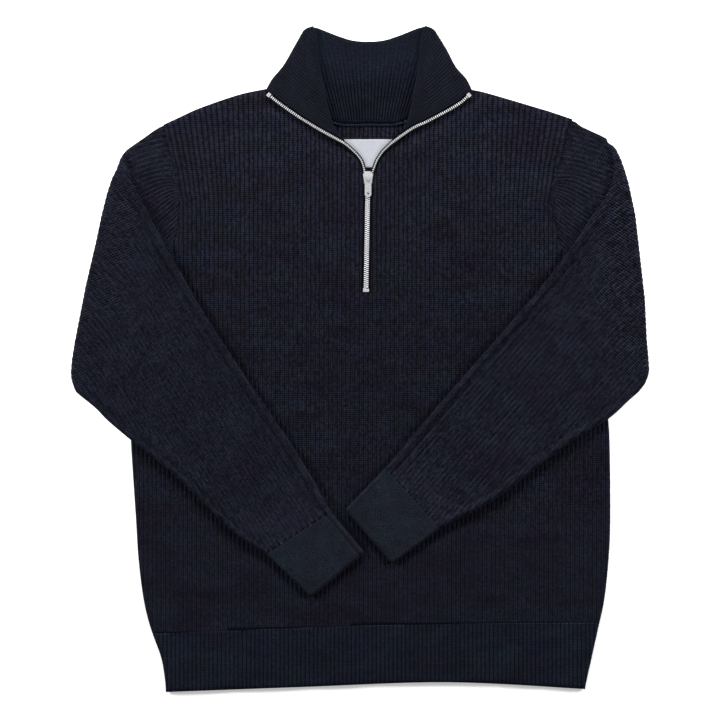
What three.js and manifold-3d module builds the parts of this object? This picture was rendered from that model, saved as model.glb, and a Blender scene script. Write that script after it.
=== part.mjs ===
// Quarter zip sweater in heavy rib knit, laid flat on its back.
// Both sleeves are folded over the front and the collar's open ends are turned out.
// Millimetres, +Z up from the surface, +Y towards the collar, +X towards the picture's right.

import * as THREE from 'three';
import { mergeVertices } from 'three/addons/utils/BufferGeometryUtils.js';
import Module from 'manifold-3d';

const wasm = await Module();
wasm.setup();

// Cloth
const KNIT = 3;
const GAP = 0.3;
const RIB_RISE = 0.6;
const EDGE_ROUND = 0.8;
const BODY_RIB = 5.15;
const HEM_RIB = 4.9;
const SLEEVE_RIB = 5;
const COLLAR_RIB = 4.9;
const WING_RIB = 3.7;

// Heights of the layers, from the surface up
const FRONT_LOW = KNIT + GAP;
const FRONT_TOP = FRONT_LOW + KNIT;
const OVER_FRONT = FRONT_TOP + RIB_RISE + GAP;
const TUBE = 2 * KNIT + GAP;
const FOLD_AXIS = (OVER_FRONT + TUBE) / 2;
const FOLD_STEPS = 8;

// How far a sleeve's edges slide along the fold as the cloth turns over, and the wall left at its edges
const TURN_SLIDE = 11;
const EDGE_WALL = 3.3;

// How far in from a fold its outward bulge dies away, and the steps of points along it
const BULGE_REACH = 40;
const BULGE_STEPS = 8;

// Steps along the curved edges
const ARM_STEPS = 14;
const SHOULDER_STEPS = 8;
const SIDE_STEPS = 24;
const EDGE_STEPS = 14;
const FRONT_NECK_STEPS = 18;
const BACK_NECK_STEPS = 20;
const COLLAR_STEPS = 16;
const HEM_STEPS = 12;

// How far joined pieces of one solid lap, how far a hollow reaches out of its mouth, and the room
// left beside a seam that isn't square to the edge
const LAP = 0.05;
const MOUTH = 8;
const SEAM_ROOM = GAP + 0.1;

// Widths of the rib blocks, which only have to be larger than the piece that is cut from them
const BODY_SPAN = 820;
const CAP_SPAN = 700;
const RUN_SPAN = 1200;
const COLLAR_SPAN = 260;

// Body outline: distance out from the zip line at each height above the hem edge
const SIDES = [
  { up: 0, left: 237, right: 253 },
  { up: 33, left: 242, right: 261 },
  { up: 70, left: 255, right: 270 },
  { up: 103, left: 263, right: 277 },
  { up: 150, left: 269, right: 282 },
  { up: 197, left: 272, right: 284 },
  { up: 290, left: 278, right: 284 },
  { up: 340, left: 279, right: 282 },
  { up: 395, left: 278, right: 283 },
];

// Armhole seams, from the underarm to the shoulder
const ARMHOLES = {
  left: [
    { out: 278, up: 396 },
    { out: 246, up: 454 },
    { out: 229, up: 512 },
    { out: 220, up: 564 },
    { out: 226, up: 607 },
    { out: 235, up: 639 },
    { out: 240, up: 659.5 },
  ],
  right: [
    { out: 283, up: 393 },
    { out: 248, up: 448 },
    { out: 225, up: 520 },
    { out: 214, up: 569 },
    { out: 217, up: 598 },
    { out: 226, up: 620 },
    { out: 238.5, up: 665.5 },
  ],
};

// Shoulder lines, from the armhole to the side of the neck
const SHOULDERS = {
  left: [
    { out: 217.6, up: 669.8 },
    { out: 197, up: 679 },
    { out: 154, up: 693 },
    { out: 122, up: 700 },
    { out: 82, up: 708 },
  ],
  right: [
    { out: 213, up: 674.5 },
    { out: 197, up: 679 },
    { out: 147, up: 693 },
    { out: 122, up: 700 },
    { out: 82, up: 708 },
  ],
};

// Front neckline, down to where the zip closes, and the slit for the zip below it
const FRONT_NECK = {
  left: [
    { out: 68, up: 680 },
    { out: 46, up: 652 },
    { out: 31.6, up: 636 },
    { out: 24.5, up: 630.8 },
    { out: 16.8, up: 623.8 },
    { out: 11.4, up: 617.4 },
    { out: 8.6, up: 610.6 },
    { out: 6.8, up: 602.5 },
    { out: 6.3, up: 598 },
  ],
  right: [
    { out: 68, up: 680 },
    { out: 46, up: 651 },
    { out: 31.9, up: 637 },
    { out: 24.6, up: 630.7 },
    { out: 18.6, up: 624.6 },
    { out: 13.9, up: 617.5 },
    { out: 10.9, up: 610.4 },
    { out: 7.9, up: 602 },
    { out: 6.4, up: 598 },
  ],
};
const SLIT = { half: 5.5, top: 590, low: 462.5, taper: 1.5 };

// The closed zip leans a little to the left below this height: sideways shift over height
const LEAN = { from: 597, slope: 0.018 };
const BACK_NECK = [
  { out: 62, up: 684 },
  { out: 40, up: 663.3 },
  { out: 0, up: 661.4 },
];

// Hem band: its seam and its lower edge, as heights over the width
const HEM_SEAM = [
  { x: -270, up: 63 },
  { x: 5, up: 73.5 },
  { x: 285, up: 77.5 },
];
const HEM_CLEAR = 4;
const HEM_EDGE = [
  { x: -237, up: -5.5 },
  { x: -75, up: 0.5 },
  { x: 94, up: 6 },
  { x: 253, up: -2 },
];

// Sleeves: the fold line of each, its laid-over upper and under edges, and the cuff
const SLEEVES = {
  left: {
    side: -1,
    capRibs: 31.5,
    runRibs: 57.5,
    fold: { outTop: 282, upTop: 629, outUnder: 347, upUnder: 362 },
    bulge: [
      { part: 0, out: 8 },
      { part: 0.02, out: 6.5 },
      { part: 0.12, out: 8.5 },
      { part: 0.25, out: 11.5 },
      { part: 0.4, out: 10.5 },
      { part: 0.6, out: 10 },
      { part: 0.85, out: 6.5 },
      { part: 1, out: 5.5 },
    ],
    top: [
      { out: 247, up: 652.5 },
      { out: 260.5, up: 640.7 },
    ],
    upper: [
      { out: 257, up: 556 },
      { out: 188, up: 433 },
      { out: 114, up: 321 },
      { out: 81, up: 272 },
    ],
    seamUpper: { out: 43, up: 206 },
    seamUnder: { out: 119, up: 157 },
    under: [
      { out: 159, up: 184 },
      { out: 226, up: 249 },
      { out: 277, up: 290 },
      { out: 316, up: 328 },
    ],
    endUpper: { out: 3.5, up: 158.5 },
    endUnder: { out: 66.5, up: 106.5 },
  },
  right: {
    side: 1,
    capRibs: 31,
    runRibs: 51,
    fold: { outTop: 284, upTop: 639, outUnder: 329, upUnder: 366 },
    bulge: [
      { part: 0, out: 4 },
      { part: 0.08, out: 9 },
      { part: 0.18, out: 13 },
      { part: 0.32, out: 15 },
      { part: 0.5, out: 12.5 },
      { part: 0.68, out: 10 },
      { part: 0.85, out: 4.5 },
      { part: 1, out: 4.5 },
    ],
    top: [
      { out: 249, up: 657.5 },
      { out: 275, up: 643.5 },
    ],
    upper: [
      { out: 270, up: 569 },
      { out: 214, up: 484 },
      { out: 116, up: 370 },
      { out: 57, up: 301 },
    ],
    seamUpper: { out: 20, up: 257.5 },
    seamUnder: { out: 84, up: 187 },
    under: [
      { out: 147, up: 220 },
      { out: 197, up: 258 },
      { out: 236, up: 287 },
      { out: 282, up: 316 },
    ],
    endUpper: { out: -27, up: 209 },
    endUnder: { out: 28, up: 145.5 },
  },
};

// Collar: its top edge over the width, and the hidden sides under the wings
const COLLAR_TOP = [
  { out: 0, up: 757 },
  { out: 19, up: 758 },
  { out: 37, up: 763 },
  { out: 56, up: 771 },
  { out: 63, up: 773.5 },
];
const COLLAR_SIDE = [
  { out: 71, up: 767 },
  { out: 83, up: 745 },
  { out: 90, up: 726 },
  { out: 83, up: 709 },
];

// Sections of each turned-out wing, from the zip edge to the peak:
// the collar's top edge is at one end of each and the roll line at the other
const WINGS = {
  left: [
    { edgeOut: 119, edgeUp: 700, rollOut: 28.2, rollUp: 641.3 },
    { edgeOut: 111, edgeUp: 713, rollOut: 40, rollUp: 658 },
    { edgeOut: 98, edgeUp: 729, rollOut: 47, rollUp: 682 },
    { edgeOut: 87, edgeUp: 748, rollOut: 53, rollUp: 710 },
    { edgeOut: 77, edgeUp: 765, rollOut: 58, rollUp: 738 },
    { edgeOut: 64, edgeUp: 774.5, rollOut: 60, rollUp: 762 },
  ],
  right: [
    { edgeOut: 121, edgeUp: 700, rollOut: 28.1, rollUp: 642 },
    { edgeOut: 113, edgeUp: 713, rollOut: 44, rollUp: 658 },
    { edgeOut: 101, edgeUp: 727, rollOut: 50, rollUp: 681 },
    { edgeOut: 91, edgeUp: 746, rollOut: 56, rollUp: 711 },
    { edgeOut: 80, edgeUp: 765, rollOut: 60, rollUp: 738 },
    { edgeOut: 65, edgeUp: 774.5, rollOut: 62, rollUp: 762 },
  ],
};
const WING_SINK = { depth: 3, from: 0.42, to: 0.92 };
const ROLL = { turn: 4.5, round: 1.3, low: KNIT + RIB_RISE + GAP };
const WING_COLUMNS = 4;

// Zip: the closed chain, then each open row from the slider up to the collar's top corner.
// "tape" is the height of the tape's underside.
const TEETH = { wide: 6.3, row: 3.6, thick: 1.8 };
const TAPE = { low: 4.3, thick: 0.7, edge: 5.2, half: 2.3, past: 3 };
const CHAIN = { low: 467.5, top: 596 };
const OPEN_ROWS = {
  left: [
    { out: 3, up: 597, tape: 4.3 },
    { out: 4, up: 603, tape: 4.3 },
    { out: 5.6, up: 611.5, tape: 4.4 },
    { out: 8.8, up: 619, tape: 4.6 },
    { out: 14.6, up: 626, tape: 5.4 },
    { out: 22.5, up: 633.2, tape: 6.5 },
    { out: 30, up: 638.6, tape: 7.35 },
    { out: 53.8, up: 651.6, tape: 7.4 },
    { out: 77, up: 665.6, tape: 7.4 },
    { out: 96, up: 678.4, tape: 7.4 },
    { out: 109, up: 688, tape: 7.4 },
    { out: 116, up: 693.8, tape: 7.4 },
  ],
  right: [
    { out: 3, up: 597, tape: 4.3 },
    { out: 5, up: 603, tape: 4.3 },
    { out: 8, up: 611.5, tape: 4.4 },
    { out: 11.2, up: 619, tape: 4.6 },
    { out: 16.2, up: 626.5, tape: 5.4 },
    { out: 22.5, up: 633, tape: 6.5 },
    { out: 30, up: 639.4, tape: 7.35 },
    { out: 51.5, up: 654.5, tape: 7.4 },
    { out: 70, up: 663.2, tape: 7.4 },
    { out: 93.6, up: 675.8, tape: 7.4 },
    { out: 108, up: 684.5, tape: 7.4 },
    { out: 118, up: 693.5, tape: 7.4 },
  ],
};
const ROW_STEPS = 36;
const ROW_START = 604.9;
const WING_BESIDE = 3;
const WING_ROWS = { from: 7, to: 11 };
const STOP = { wide: 4.6, long: 4, thick: 2.3 };
const BOTTOM_STOP = { wide: 7, long: 3.6, thick: 2.3 };

// Slider, its bridge and the pull tab on it
const SLIDER = {
  up: 597.5, long: 14, topWide: 12, lowWide: 9, underWide: 10, corner: 1.6, low: 7.5, thick: 1.1,
};
const FLANGE = { inner: 3.65, wide: 1.1, long: 7.5 };
const POST = { up: 602.3, wide: 2.4, long: 3 };
const BRIDGE = { up: 596.5, wide: 2.4, bar: 1.1, hollow: 3.4, rise: 2.2 };
const TAB = {
  long: 22.2, wide: 7.6, thick: 1.1, end: 2.4, tilt: 3,
  eyeWide: 6.4, window: 3.6, reach: 4.9,
  hole: 1.5, holeUp: 4.4,
};

// Inside back neck
const LABEL = { up: 642.5, half: 28, low: 606.5, beside: 1.6, clear: 1, thick: 0.8 };
const NECK_RIDGE = { half: 41, wide: 3, thick: 1.6, below: 2.2 };

// Colours and finishes
const NAVY = 0x1b1d26;
const CUFF_NAVY = 0x1e2029;
const TAPE_NAVY = 0x12131a;
const STEEL = 0xc4c6cb;
const LABEL_WHITE = 0xd3d6dc;

function cloth(colour) {
  return new THREE.MeshStandardMaterial({ color: colour, roughness: 0.95, metalness: 0 });
}

function metal() {
  return new THREE.MeshStandardMaterial({ color: STEEL, roughness: 0.28, metalness: 1 });
}

// Solids for joining and cutting
function welded(geometry) {
  const plain = geometry.index ? geometry.clone() : geometry;
  plain.deleteAttribute('normal');
  plain.deleteAttribute('uv');
  return mergeVertices(plain, 1e-4);
}

function solid(geometry) {
  const merged = welded(geometry);
  return new wasm.Manifold(new wasm.Mesh({
    numProp: 3,
    vertProperties: new Float32Array(merged.attributes.position.array),
    triVerts: new Uint32Array(merged.index.array),
  }));
}

function geometryOf(body) {
  const mesh = body.getMesh();
  const geometry = new THREE.BufferGeometry();
  geometry.setAttribute('position', new THREE.BufferAttribute(mesh.vertProperties, 3));
  geometry.setIndex(new THREE.BufferAttribute(mesh.triVerts, 1));
  return geometry;
}

function joined(solids) {
  return solids.reduce((whole, next) => whole.add(next));
}

// Points and curves
function at(side, row) {
  return new THREE.Vector2(side * row.out, row.up);
}

function smooth(points, steps) {
  return new THREE.SplineCurve(points).getPoints(steps);
}

function cleanLoop(points) {
  const tiny = 0.05;
  const kept = points.filter((p, i) => i === 0 || p.distanceTo(points[i - 1]) > tiny);
  if (kept[0].distanceTo(kept[kept.length - 1]) < tiny) {
    kept.pop();
  }
  return kept;
}

// A flat wall with the given outline, its long edges rounded over
function slab(outline, low, high, round = EDGE_ROUND) {
  const shape = new THREE.Shape(cleanLoop(outline));
  const geometry = new THREE.ExtrudeGeometry(shape, {
    depth: high - low - 2 * round,
    bevelEnabled: round > 0,
    bevelThickness: round,
    bevelSize: round,
    bevelOffset: -round,
    bevelSegments: 2,
    curveSegments: 1,
  });
  geometry.translate(0, 0, low + round);
  return solid(geometry);
}

// A block whose upper face is raised in ribs that run at the given angle to +Y
function ribBlock({ centre, span, top, pitch, angle }) {
  const low = top - 2 * KNIT;
  const count = Math.ceil(span / pitch / 2);
  const shape = new THREE.Shape();
  shape.moveTo(-count * pitch, low);
  for (let k = -count; k < count; k += 1) {
    shape.lineTo(k * pitch, top);
    shape.lineTo((k + 0.5) * pitch, top + RIB_RISE);
  }
  shape.lineTo(count * pitch, top);
  shape.lineTo(count * pitch, low);
  shape.closePath();
  const geometry = new THREE.ExtrudeGeometry(shape, { depth: span, bevelEnabled: false });
  geometry.translate(0, 0, -span / 2);
  geometry.rotateX(Math.PI / 2);
  geometry.rotateZ(THREE.MathUtils.degToRad(angle));
  geometry.translate(centre.x, centre.y, 0);
  return solid(geometry);
}

// A knit wall: the outline's slab, with ribs on its upper face
function ribWall(outline, low, top, ribs) {
  const clear = top + RIB_RISE + 2 * EDGE_ROUND;
  return slab(outline, low, clear).intersect(ribBlock({ ...ribs, top }));
}

// A closed solid between two grids of points of the same size, joined all round their borders
function between(gridA, gridB) {
  const rows = gridA.length;
  const columns = gridA[0].length;
  const positions = [gridA, gridB].flat(2).flatMap((p) => [p.x, p.y, p.z]);
  const index = [];
  const spot = (grid, row, column) => (grid * rows + row) * columns + column;
  const quad = (p, q, r, t) => index.push(p, q, r, p, r, t);
  for (let row = 0; row + 1 < rows; row += 1) {
    for (let column = 0; column + 1 < columns; column += 1) {
      const corners = [[row, column], [row, column + 1], [row + 1, column + 1], [row + 1, column]];
      quad(...corners.map(([r, c]) => spot(0, r, c)));
      quad(...corners.map(([r, c]) => spot(1, r, c)).reverse());
    }
  }
  const border = [];
  for (let column = 0; column < columns - 1; column += 1) border.push([0, column]);
  for (let row = 0; row < rows - 1; row += 1) border.push([row, columns - 1]);
  for (let column = columns - 1; column > 0; column -= 1) border.push([rows - 1, column]);
  for (let row = rows - 1; row > 0; row -= 1) border.push([row, 0]);
  border.forEach((place, i) => {
    const next = border[(i + 1) % border.length];
    quad(spot(0, ...next), spot(0, ...place), spot(1, ...place), spot(1, ...next));
  });
  const geometry = new THREE.BufferGeometry();
  geometry.setAttribute('position', new THREE.Float32BufferAttribute(positions, 3));
  geometry.setIndex(index);
  return facingOut(geometry);
}

// Turns every face over when the closed surface would enclose a negative volume
function facingOut(geometry) {
  const p = geometry.attributes.position;
  const index = geometry.index.array;
  const corner = [0, 1, 2].map(() => new THREE.Vector3());
  let volume = 0;
  for (let i = 0; i < index.length; i += 3) {
    corner.forEach((c, n) => c.fromBufferAttribute(p, index[i + n]));
    volume += corner[0].dot(corner[1].cross(corner[2]));
  }
  if (volume < 0) {
    for (let i = 0; i < index.length; i += 3) {
      [index[i + 1], index[i + 2]] = [index[i + 2], index[i + 1]];
    }
  }
  return geometry;
}

// Body panels
function armhole(name, side) {
  return smooth(ARMHOLES[name].map((row) => at(side, row)), ARM_STEPS);
}

// The value a table of rows gives between its rows
function reading(table, key, x, value) {
  const k = Math.max(1, table.findIndex((row) => row[key] >= x));
  const [a, b] = [table[k - 1], table[k]];
  return THREE.MathUtils.lerp(a[value], b[value], (x - a[key]) / (b[key] - a[key]));
}

function heightOn(table, x) {
  return reading(table, 'x', x, 'up');
}

function sideLine(name, side) {
  return smooth(SIDES.map((row) => new THREE.Vector2(side * row[name], row.up)), SIDE_STEPS);
}

function seamPoint(x, rise) {
  return new THREE.Vector2(x, heightOn(HEM_SEAM, x) + rise);
}

// One half of a panel's edge, from the side of the hem seam round to the neck point
function panelHalf(name, side) {
  const waist = sideLine(name, side).filter((p) => p.y > heightOn(HEM_SEAM, p.x) + HEM_CLEAR);
  const shoulder = [ARMHOLES[name].at(-1), ...SHOULDERS[name]].map((row) => at(side, row));
  return [
    seamPoint(waist[0].x, GAP / 2),
    ...waist.slice(0, -1),
    ...armhole(name, side),
    ...smooth(shoulder, SHOULDER_STEPS),
  ];
}

function panelOutline(neck) {
  return [
    seamPoint(HEM_SEAM[1].x, GAP / 2),
    ...panelHalf('left', -1),
    ...neck,
    ...panelHalf('right', 1).reverse(),
  ];
}

// The back neck seam, from one side of the neck to the other
function backNeck() {
  return smooth([
    at(-1, SHOULDERS.left.at(-1)),
    ...BACK_NECK.map((row) => at(-1, row)),
    ...BACK_NECK.slice(0, -1).reverse().map((row) => at(1, row)),
    at(1, SHOULDERS.right.at(-1)),
  ], BACK_NECK_STEPS);
}

// Sideways shift of the closed zip at a height
function leanAt(up) {
  return -LEAN.slope * Math.max(0, LEAN.from - up);
}

// One side of the front neckline, from the shoulder down to where the zip closes
function neckline(name, side) {
  const rows = [SHOULDERS[name].at(-1), ...FRONT_NECK[name]];
  return smooth(rows.map((row) => at(side, row)), FRONT_NECK_STEPS);
}

// The same, down to the foot of the zip's slit
function frontNeck(name, side) {
  const edge = (out, up) => new THREE.Vector2(side * out + leanAt(up), up);
  return [
    ...neckline(name, side),
    edge(SLIT.half, SLIT.top),
    edge(SLIT.half, SLIT.low + SLIT.taper),
    edge(SLIT.half - SLIT.taper, SLIT.low),
  ];
}

const BODY_RIBS = { centre: new THREE.Vector2(0, 380), span: BODY_SPAN, pitch: BODY_RIB, angle: 0 };

function backPanel() {
  return slab(panelOutline(backNeck()), 0, KNIT);
}

function frontPanel() {
  const neck = [...frontNeck('left', -1), ...frontNeck('right', 1).reverse()];
  return ribWall(panelOutline(neck), FRONT_LOW, FRONT_TOP, BODY_RIBS);
}

// Hem band, below the seam of each panel
function hemOutline() {
  const inset = 1.2;
  const side = (name, sign) => sideLine(name, sign)
    .filter((p) => p.y < heightOn(HEM_SEAM, p.x) - HEM_CLEAR && p.y > HEM_CLEAR);
  const left = side('left', -1);
  const right = side('right', 1);
  return [
    ...smooth(HEM_EDGE.map((row) => new THREE.Vector2(row.x, row.up)), HEM_STEPS),
    ...right,
    seamPoint(right.at(-1).x + inset, -GAP / 2),
    seamPoint(HEM_SEAM[1].x, -GAP / 2),
    seamPoint(left.at(-1).x - inset, -GAP / 2),
    ...left.reverse(),
  ];
}

// Sleeves
function sleeveFrame(name) {
  const data = SLEEVES[name];
  const { side, fold } = data;
  const top = new THREE.Vector2(side * fold.outTop, fold.upTop);
  const under = new THREE.Vector2(side * fold.outUnder, fold.upUnder);
  const along = under.clone().sub(top).normalize();
  const inward = new THREE.Vector2(along.y, -along.x).multiplyScalar(side);
  const across = at(side, data.seamUnder).sub(at(side, data.seamUpper)).normalize();
  const onward = new THREE.Vector2(across.y, -across.x).multiplyScalar(-side);
  const axisTop = top.clone().addScaledVector(inward, FOLD_AXIS);
  return { ...data, name, along, inward, across, onward, axisTop, length: top.distanceTo(under) };
}

// Moves a point near the fold outwards, by as much as the fold bulges there
function bulged(frame, point) {
  const from = point.clone().sub(frame.axisTop);
  const inward = from.dot(frame.inward) + FOLD_AXIS;
  const part = THREE.MathUtils.clamp(from.dot(frame.along) / frame.length, 0, 1);
  const near = 1 - THREE.MathUtils.smoothstep(inward, 0, BULGE_REACH);
  return point.clone().addScaledVector(frame.inward, -near * reading(frame.bulge, 'part', part, 'out'));
}

// A point beside the fold axis: along it from its top end, and in towards the body
function foldPoint(frame, along, inward) {
  return frame.axisTop.clone().addScaledVector(frame.along, along).addScaledVector(frame.inward, inward);
}

// The row of points along the fold axis, from one distance along it to another
function foldLine(frame, from, to) {
  const along = (k) => THREE.MathUtils.lerp(from, to, k / BULGE_STEPS);
  return Array.from({ length: BULGE_STEPS + 1 }, (_, k) => foldPoint(frame, along(k), 0));
}

// The sleeve's cap, from the armhole to the fold. The hollow inside it is inset from its edges
// and reaches out past the armhole.
function capOutline(frame, inset, reach) {
  const { name, side, top, along } = frame;
  const hole = armhole(name, side).map((p) => new THREE.Vector2(p.x + side * (SEAM_ROOM - reach), p.y));
  const slant = inset * Math.SQRT2;
  hole[0].addScaledVector(along, -slant);
  hole.at(-1).addScaledVector(along, slant);
  return [
    ...hole.filter((p, i) => i === 0 || (p.y > hole[0].y && p.y < hole.at(-1).y) || i === hole.length - 1),
    ...top.map((row) => at(side, row).addScaledVector(along, slant)),
    ...foldLine(frame, slant, frame.length - TURN_SLIDE - slant),
  ].map((p) => bulged(frame, p));
}

// The stretch of sleeve that lies over the front, from the fold to the cuff seam
function runOutline(frame, inset, reach) {
  const { side, across, onward, upper, under, seamUpper, seamUnder } = frame;
  const slant = inset * Math.SQRT2;
  const shift = (row, by) => at(side, row).addScaledVector(across, by);
  const start = foldPoint(frame, TURN_SLIDE + slant, 0);
  const finish = foldPoint(frame, frame.length - slant, 0);
  const upperLine = [start, ...upper.map((row) => shift(row, inset)), shift(seamUpper, inset)];
  const underLine = [shift(seamUnder, -inset), ...under.map((row) => shift(row, -inset)), finish];
  return [
    ...smooth(upperLine, EDGE_STEPS),
    shift(seamUpper, inset).addScaledVector(onward, reach),
    shift(seamUnder, -inset).addScaledVector(onward, reach),
    ...smooth(underLine, EDGE_STEPS),
    ...foldLine(frame, frame.length - slant, TURN_SLIDE + slant).slice(1, -1),
  ].map((p) => bulged(frame, p));
}

// One layer of the bend, rolled over the fold axis. Its edges slide along the fold as it turns.
function bend(frame, low, high, inset, round) {
  const lead = 2;
  const slant = inset * Math.SQRT2;
  const end = frame.length - TURN_SLIDE - slant;
  const stations = Array.from({ length: BULGE_STEPS + 1 }, (_, k) => {
    const part = k / BULGE_STEPS;
    return { from: THREE.MathUtils.lerp(slant + round, end - round, part), thin: 0 };
  });
  if (round > 0) {
    stations.unshift({ from: slant, thin: round });
    stations.push({ from: end, thin: round });
  }
  const turns = [{ turn: 0, slide: 0, inward: lead }];
  for (let k = 0; k <= FOLD_STEPS; k += 1) {
    turns.push({ turn: (Math.PI * k) / FOLD_STEPS, slide: (TURN_SLIDE * k) / FOLD_STEPS, inward: 0 });
  }
  turns.push({ turn: Math.PI, slide: TURN_SLIDE, inward: lead });
  const surface = (height, thinner) => turns.map(({ turn, slide, inward }) => stations.map(({ from, thin }) => {
    const radius = FOLD_AXIS - height - thinner * thin;
    const p = bulged(frame, foldPoint(frame, from + slide, inward - radius * Math.sin(turn)));
    return new THREE.Vector3(p.x, p.y, FOLD_AXIS - radius * Math.cos(turn));
  }));
  return solid(between(surface(low, 1), surface(high, -1)));
}

function sleeve(name) {
  const frame = sleeveFrame(name);
  const { side, capRibs, runRibs, seamUpper, top } = frame;
  const cap = capOutline(frame, 0, 0);
  const run = runOutline(frame, 0, 0);
  const middle = TUBE / 2;
  const cloth = joined([
    slab(cap, 0, middle + LAP),
    ribWall(cap, middle, TUBE, {
      centre: at(side, top[0]), span: CAP_SPAN, pitch: SLEEVE_RIB, angle: side * (90 - capRibs),
    }),
    bend(frame, 0, middle + LAP, 0, EDGE_ROUND),
    bend(frame, middle, TUBE, 0, EDGE_ROUND),
    slab(run, OVER_FRONT, OVER_FRONT + middle + LAP),
    ribWall(run, OVER_FRONT + middle, OVER_FRONT + TUBE, {
      centre: at(side, seamUpper), span: RUN_SPAN, pitch: SLEEVE_RIB, angle: side * (runRibs - 90),
    }),
  ]);
  const hollow = joined([
    slab(capOutline(frame, EDGE_WALL, MOUTH), KNIT, KNIT + GAP, 0),
    bend(frame, KNIT, KNIT + GAP, EDGE_WALL, 0),
    slab(runOutline(frame, EDGE_WALL, MOUTH), OVER_FRONT + KNIT, OVER_FRONT + KNIT + GAP, 0),
  ]);
  return cloth.subtract(hollow);
}

function cuffOutline(frame, inset, reach) {
  const { side, across, seamUpper, seamUnder, endUpper, endUnder } = frame;
  const onward = at(side, endUpper).sub(at(side, seamUpper)).normalize();
  const corner = (row, sign, by) => at(side, row)
    .addScaledVector(across, sign * inset)
    .addScaledVector(onward, by);
  return [
    corner(seamUpper, 1, SEAM_ROOM - reach),
    corner(endUpper, 1, reach),
    corner(endUnder, -1, reach),
    corner(seamUnder, -1, SEAM_ROOM - reach),
  ];
}

function cuff(name) {
  const frame = sleeveFrame(name);
  const outer = cuffOutline(frame, 0, 0);
  const middle = OVER_FRONT + TUBE / 2;
  return joined([
    slab(outer, OVER_FRONT, middle + LAP),
    slab(outer, middle, OVER_FRONT + TUBE),
  ]).subtract(slab(cuffOutline(frame, EDGE_WALL, MOUTH), OVER_FRONT + KNIT, OVER_FRONT + KNIT + GAP, 0));
}

// Collar. The back part lies on the surface with its inner face up.
function collarBack() {
  const lift = new THREE.Vector2(0, SEAM_ROOM);
  const top = [
    ...COLLAR_TOP.slice().reverse().map((row) => at(1, row)),
    ...COLLAR_TOP.slice(1).map((row) => at(-1, row)),
  ];
  const outline = [
    ...backNeck().map((p) => p.clone().add(lift)),
    ...COLLAR_SIDE.slice().reverse().map((row) => at(1, row)),
    ...smooth(top, COLLAR_STEPS),
    ...COLLAR_SIDE.map((row) => at(-1, row)),
  ];
  const centre = new THREE.Vector2(0, COLLAR_TOP[0].up);
  const ribs = { centre, span: COLLAR_SPAN, pitch: COLLAR_RIB, angle: 0 };
  return ribWall(outline, 0, KNIT, ribs);
}

// A row of points set beside a path, to its left where the distance is positive
function beside(points, distance) {
  return points.map((p, i) => {
    const before = points[Math.max(0, i - 1)];
    const after = points[Math.min(points.length - 1, i + 1)];
    const away = new THREE.Vector2(before.y - after.y, after.x - before.x).normalize();
    return new THREE.Vector2(p.x, p.y).addScaledVector(away, distance);
  });
}

// The wing's zip edge, from the collar's top corner down to the neck seam
function wingZipEdge(name, side) {
  const first = WINGS[name][0];
  const path = OPEN_ROWS[name].map((row) => at(side, row));
  const edge = beside(path, side * WING_BESIDE).slice(WING_ROWS.from, WING_ROWS.to);
  const neck = new THREE.Vector2(side * first.rollOut, first.rollUp);
  const corner = new THREE.Vector2(side * first.edgeOut, first.edgeUp);
  return new THREE.SplineCurve([corner, ...edge.reverse(), neck]);
}

// The front end of the collar, turned out along its roll line, its inner face up. Ribs run along
// the zip edge, two rows of points to a rib, and the roll line is rounded down to the collar below.
function wing(name) {
  const side = name === 'left' ? -1 : 1;
  const curve = (points) => new THREE.SplineCurve(points);
  const edge = curve(WINGS[name].map((row) => new THREE.Vector2(side * row.edgeOut, row.edgeUp)));
  const roll = curve(WINGS[name].map((row) => new THREE.Vector2(side * row.rollOut, row.rollUp)));
  const zipEdge = wingZipEdge(name, side);
  const rows = 2 * Math.round(edge.getLength() / WING_RIB);
  const upper = [];
  const under = [];
  for (let k = 0; k <= rows; k += 1) {
    const t = k / rows;
    const [from, to] = [edge.getPoint(t), roll.getPoint(t)];
    const flat = 1 - ROLL.turn / from.distanceTo(to);
    const sink = WING_SINK.depth * THREE.MathUtils.smoothstep(t, WING_SINK.from, WING_SINK.to);
    const low = OVER_FRONT + GAP - sink;
    const rise = k % 2 === 1 ? RIB_RISE : 0;
    const across = Array.from({ length: WING_COLUMNS + 1 }, (_, i) => (flat * i) / WING_COLUMNS);
    const points = [...across, 1].map((u) => {
      const pull = zipEdge.getPointAt(u).sub(edge.getPoint(0).lerp(roll.getPoint(0), u));
      return from.clone().lerp(to, u).addScaledVector(pull, (1 - t) ** 2);
    });
    upper.push(points.map((p, i) => {
      const drop = i > WING_COLUMNS ? ROLL.round : 0;
      return new THREE.Vector3(p.x, p.y, low + KNIT + rise - drop);
    }));
    under.push(points.map((p, i) => new THREE.Vector3(p.x, p.y, i > WING_COLUMNS ? ROLL.low : low)));
  }
  return between(upper, under);
}

// Zip. A flat strip along a path of points, from one distance beside it to another.
function strip(path, left, right, lift, thick) {
  const flat = path.map((p) => new THREE.Vector2(p.x, p.y));
  const edgeOf = (distance) => beside(flat, distance).map((p, i) => [
    new THREE.Vector3(p.x, p.y, path[i].z + lift),
    new THREE.Vector3(p.x, p.y, path[i].z + lift + thick),
  ]);
  return between(edgeOf(left), edgeOf(right));
}

function openPath(name, side) {
  const points = OPEN_ROWS[name].map((row) => new THREE.Vector3(side * row.out, row.up, row.tape));
  return new THREE.CatmullRomCurve3(points, false, 'centripetal').getPoints(ROW_STEPS);
}

function box(x, y, z, [wide, long, thick]) {
  const geometry = new THREE.BoxGeometry(wide, long, thick);
  geometry.translate(x, y, z + thick / 2);
  return geometry;
}

// Moves the points of a box on the closed zip sideways, by the zip's lean at their height
function leaned(geometry) {
  const p = geometry.attributes.position;
  for (let i = 0; i < p.count; i += 1) {
    p.setX(i, p.getX(i) + leanAt(p.getY(i)));
  }
  return geometry;
}

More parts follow.
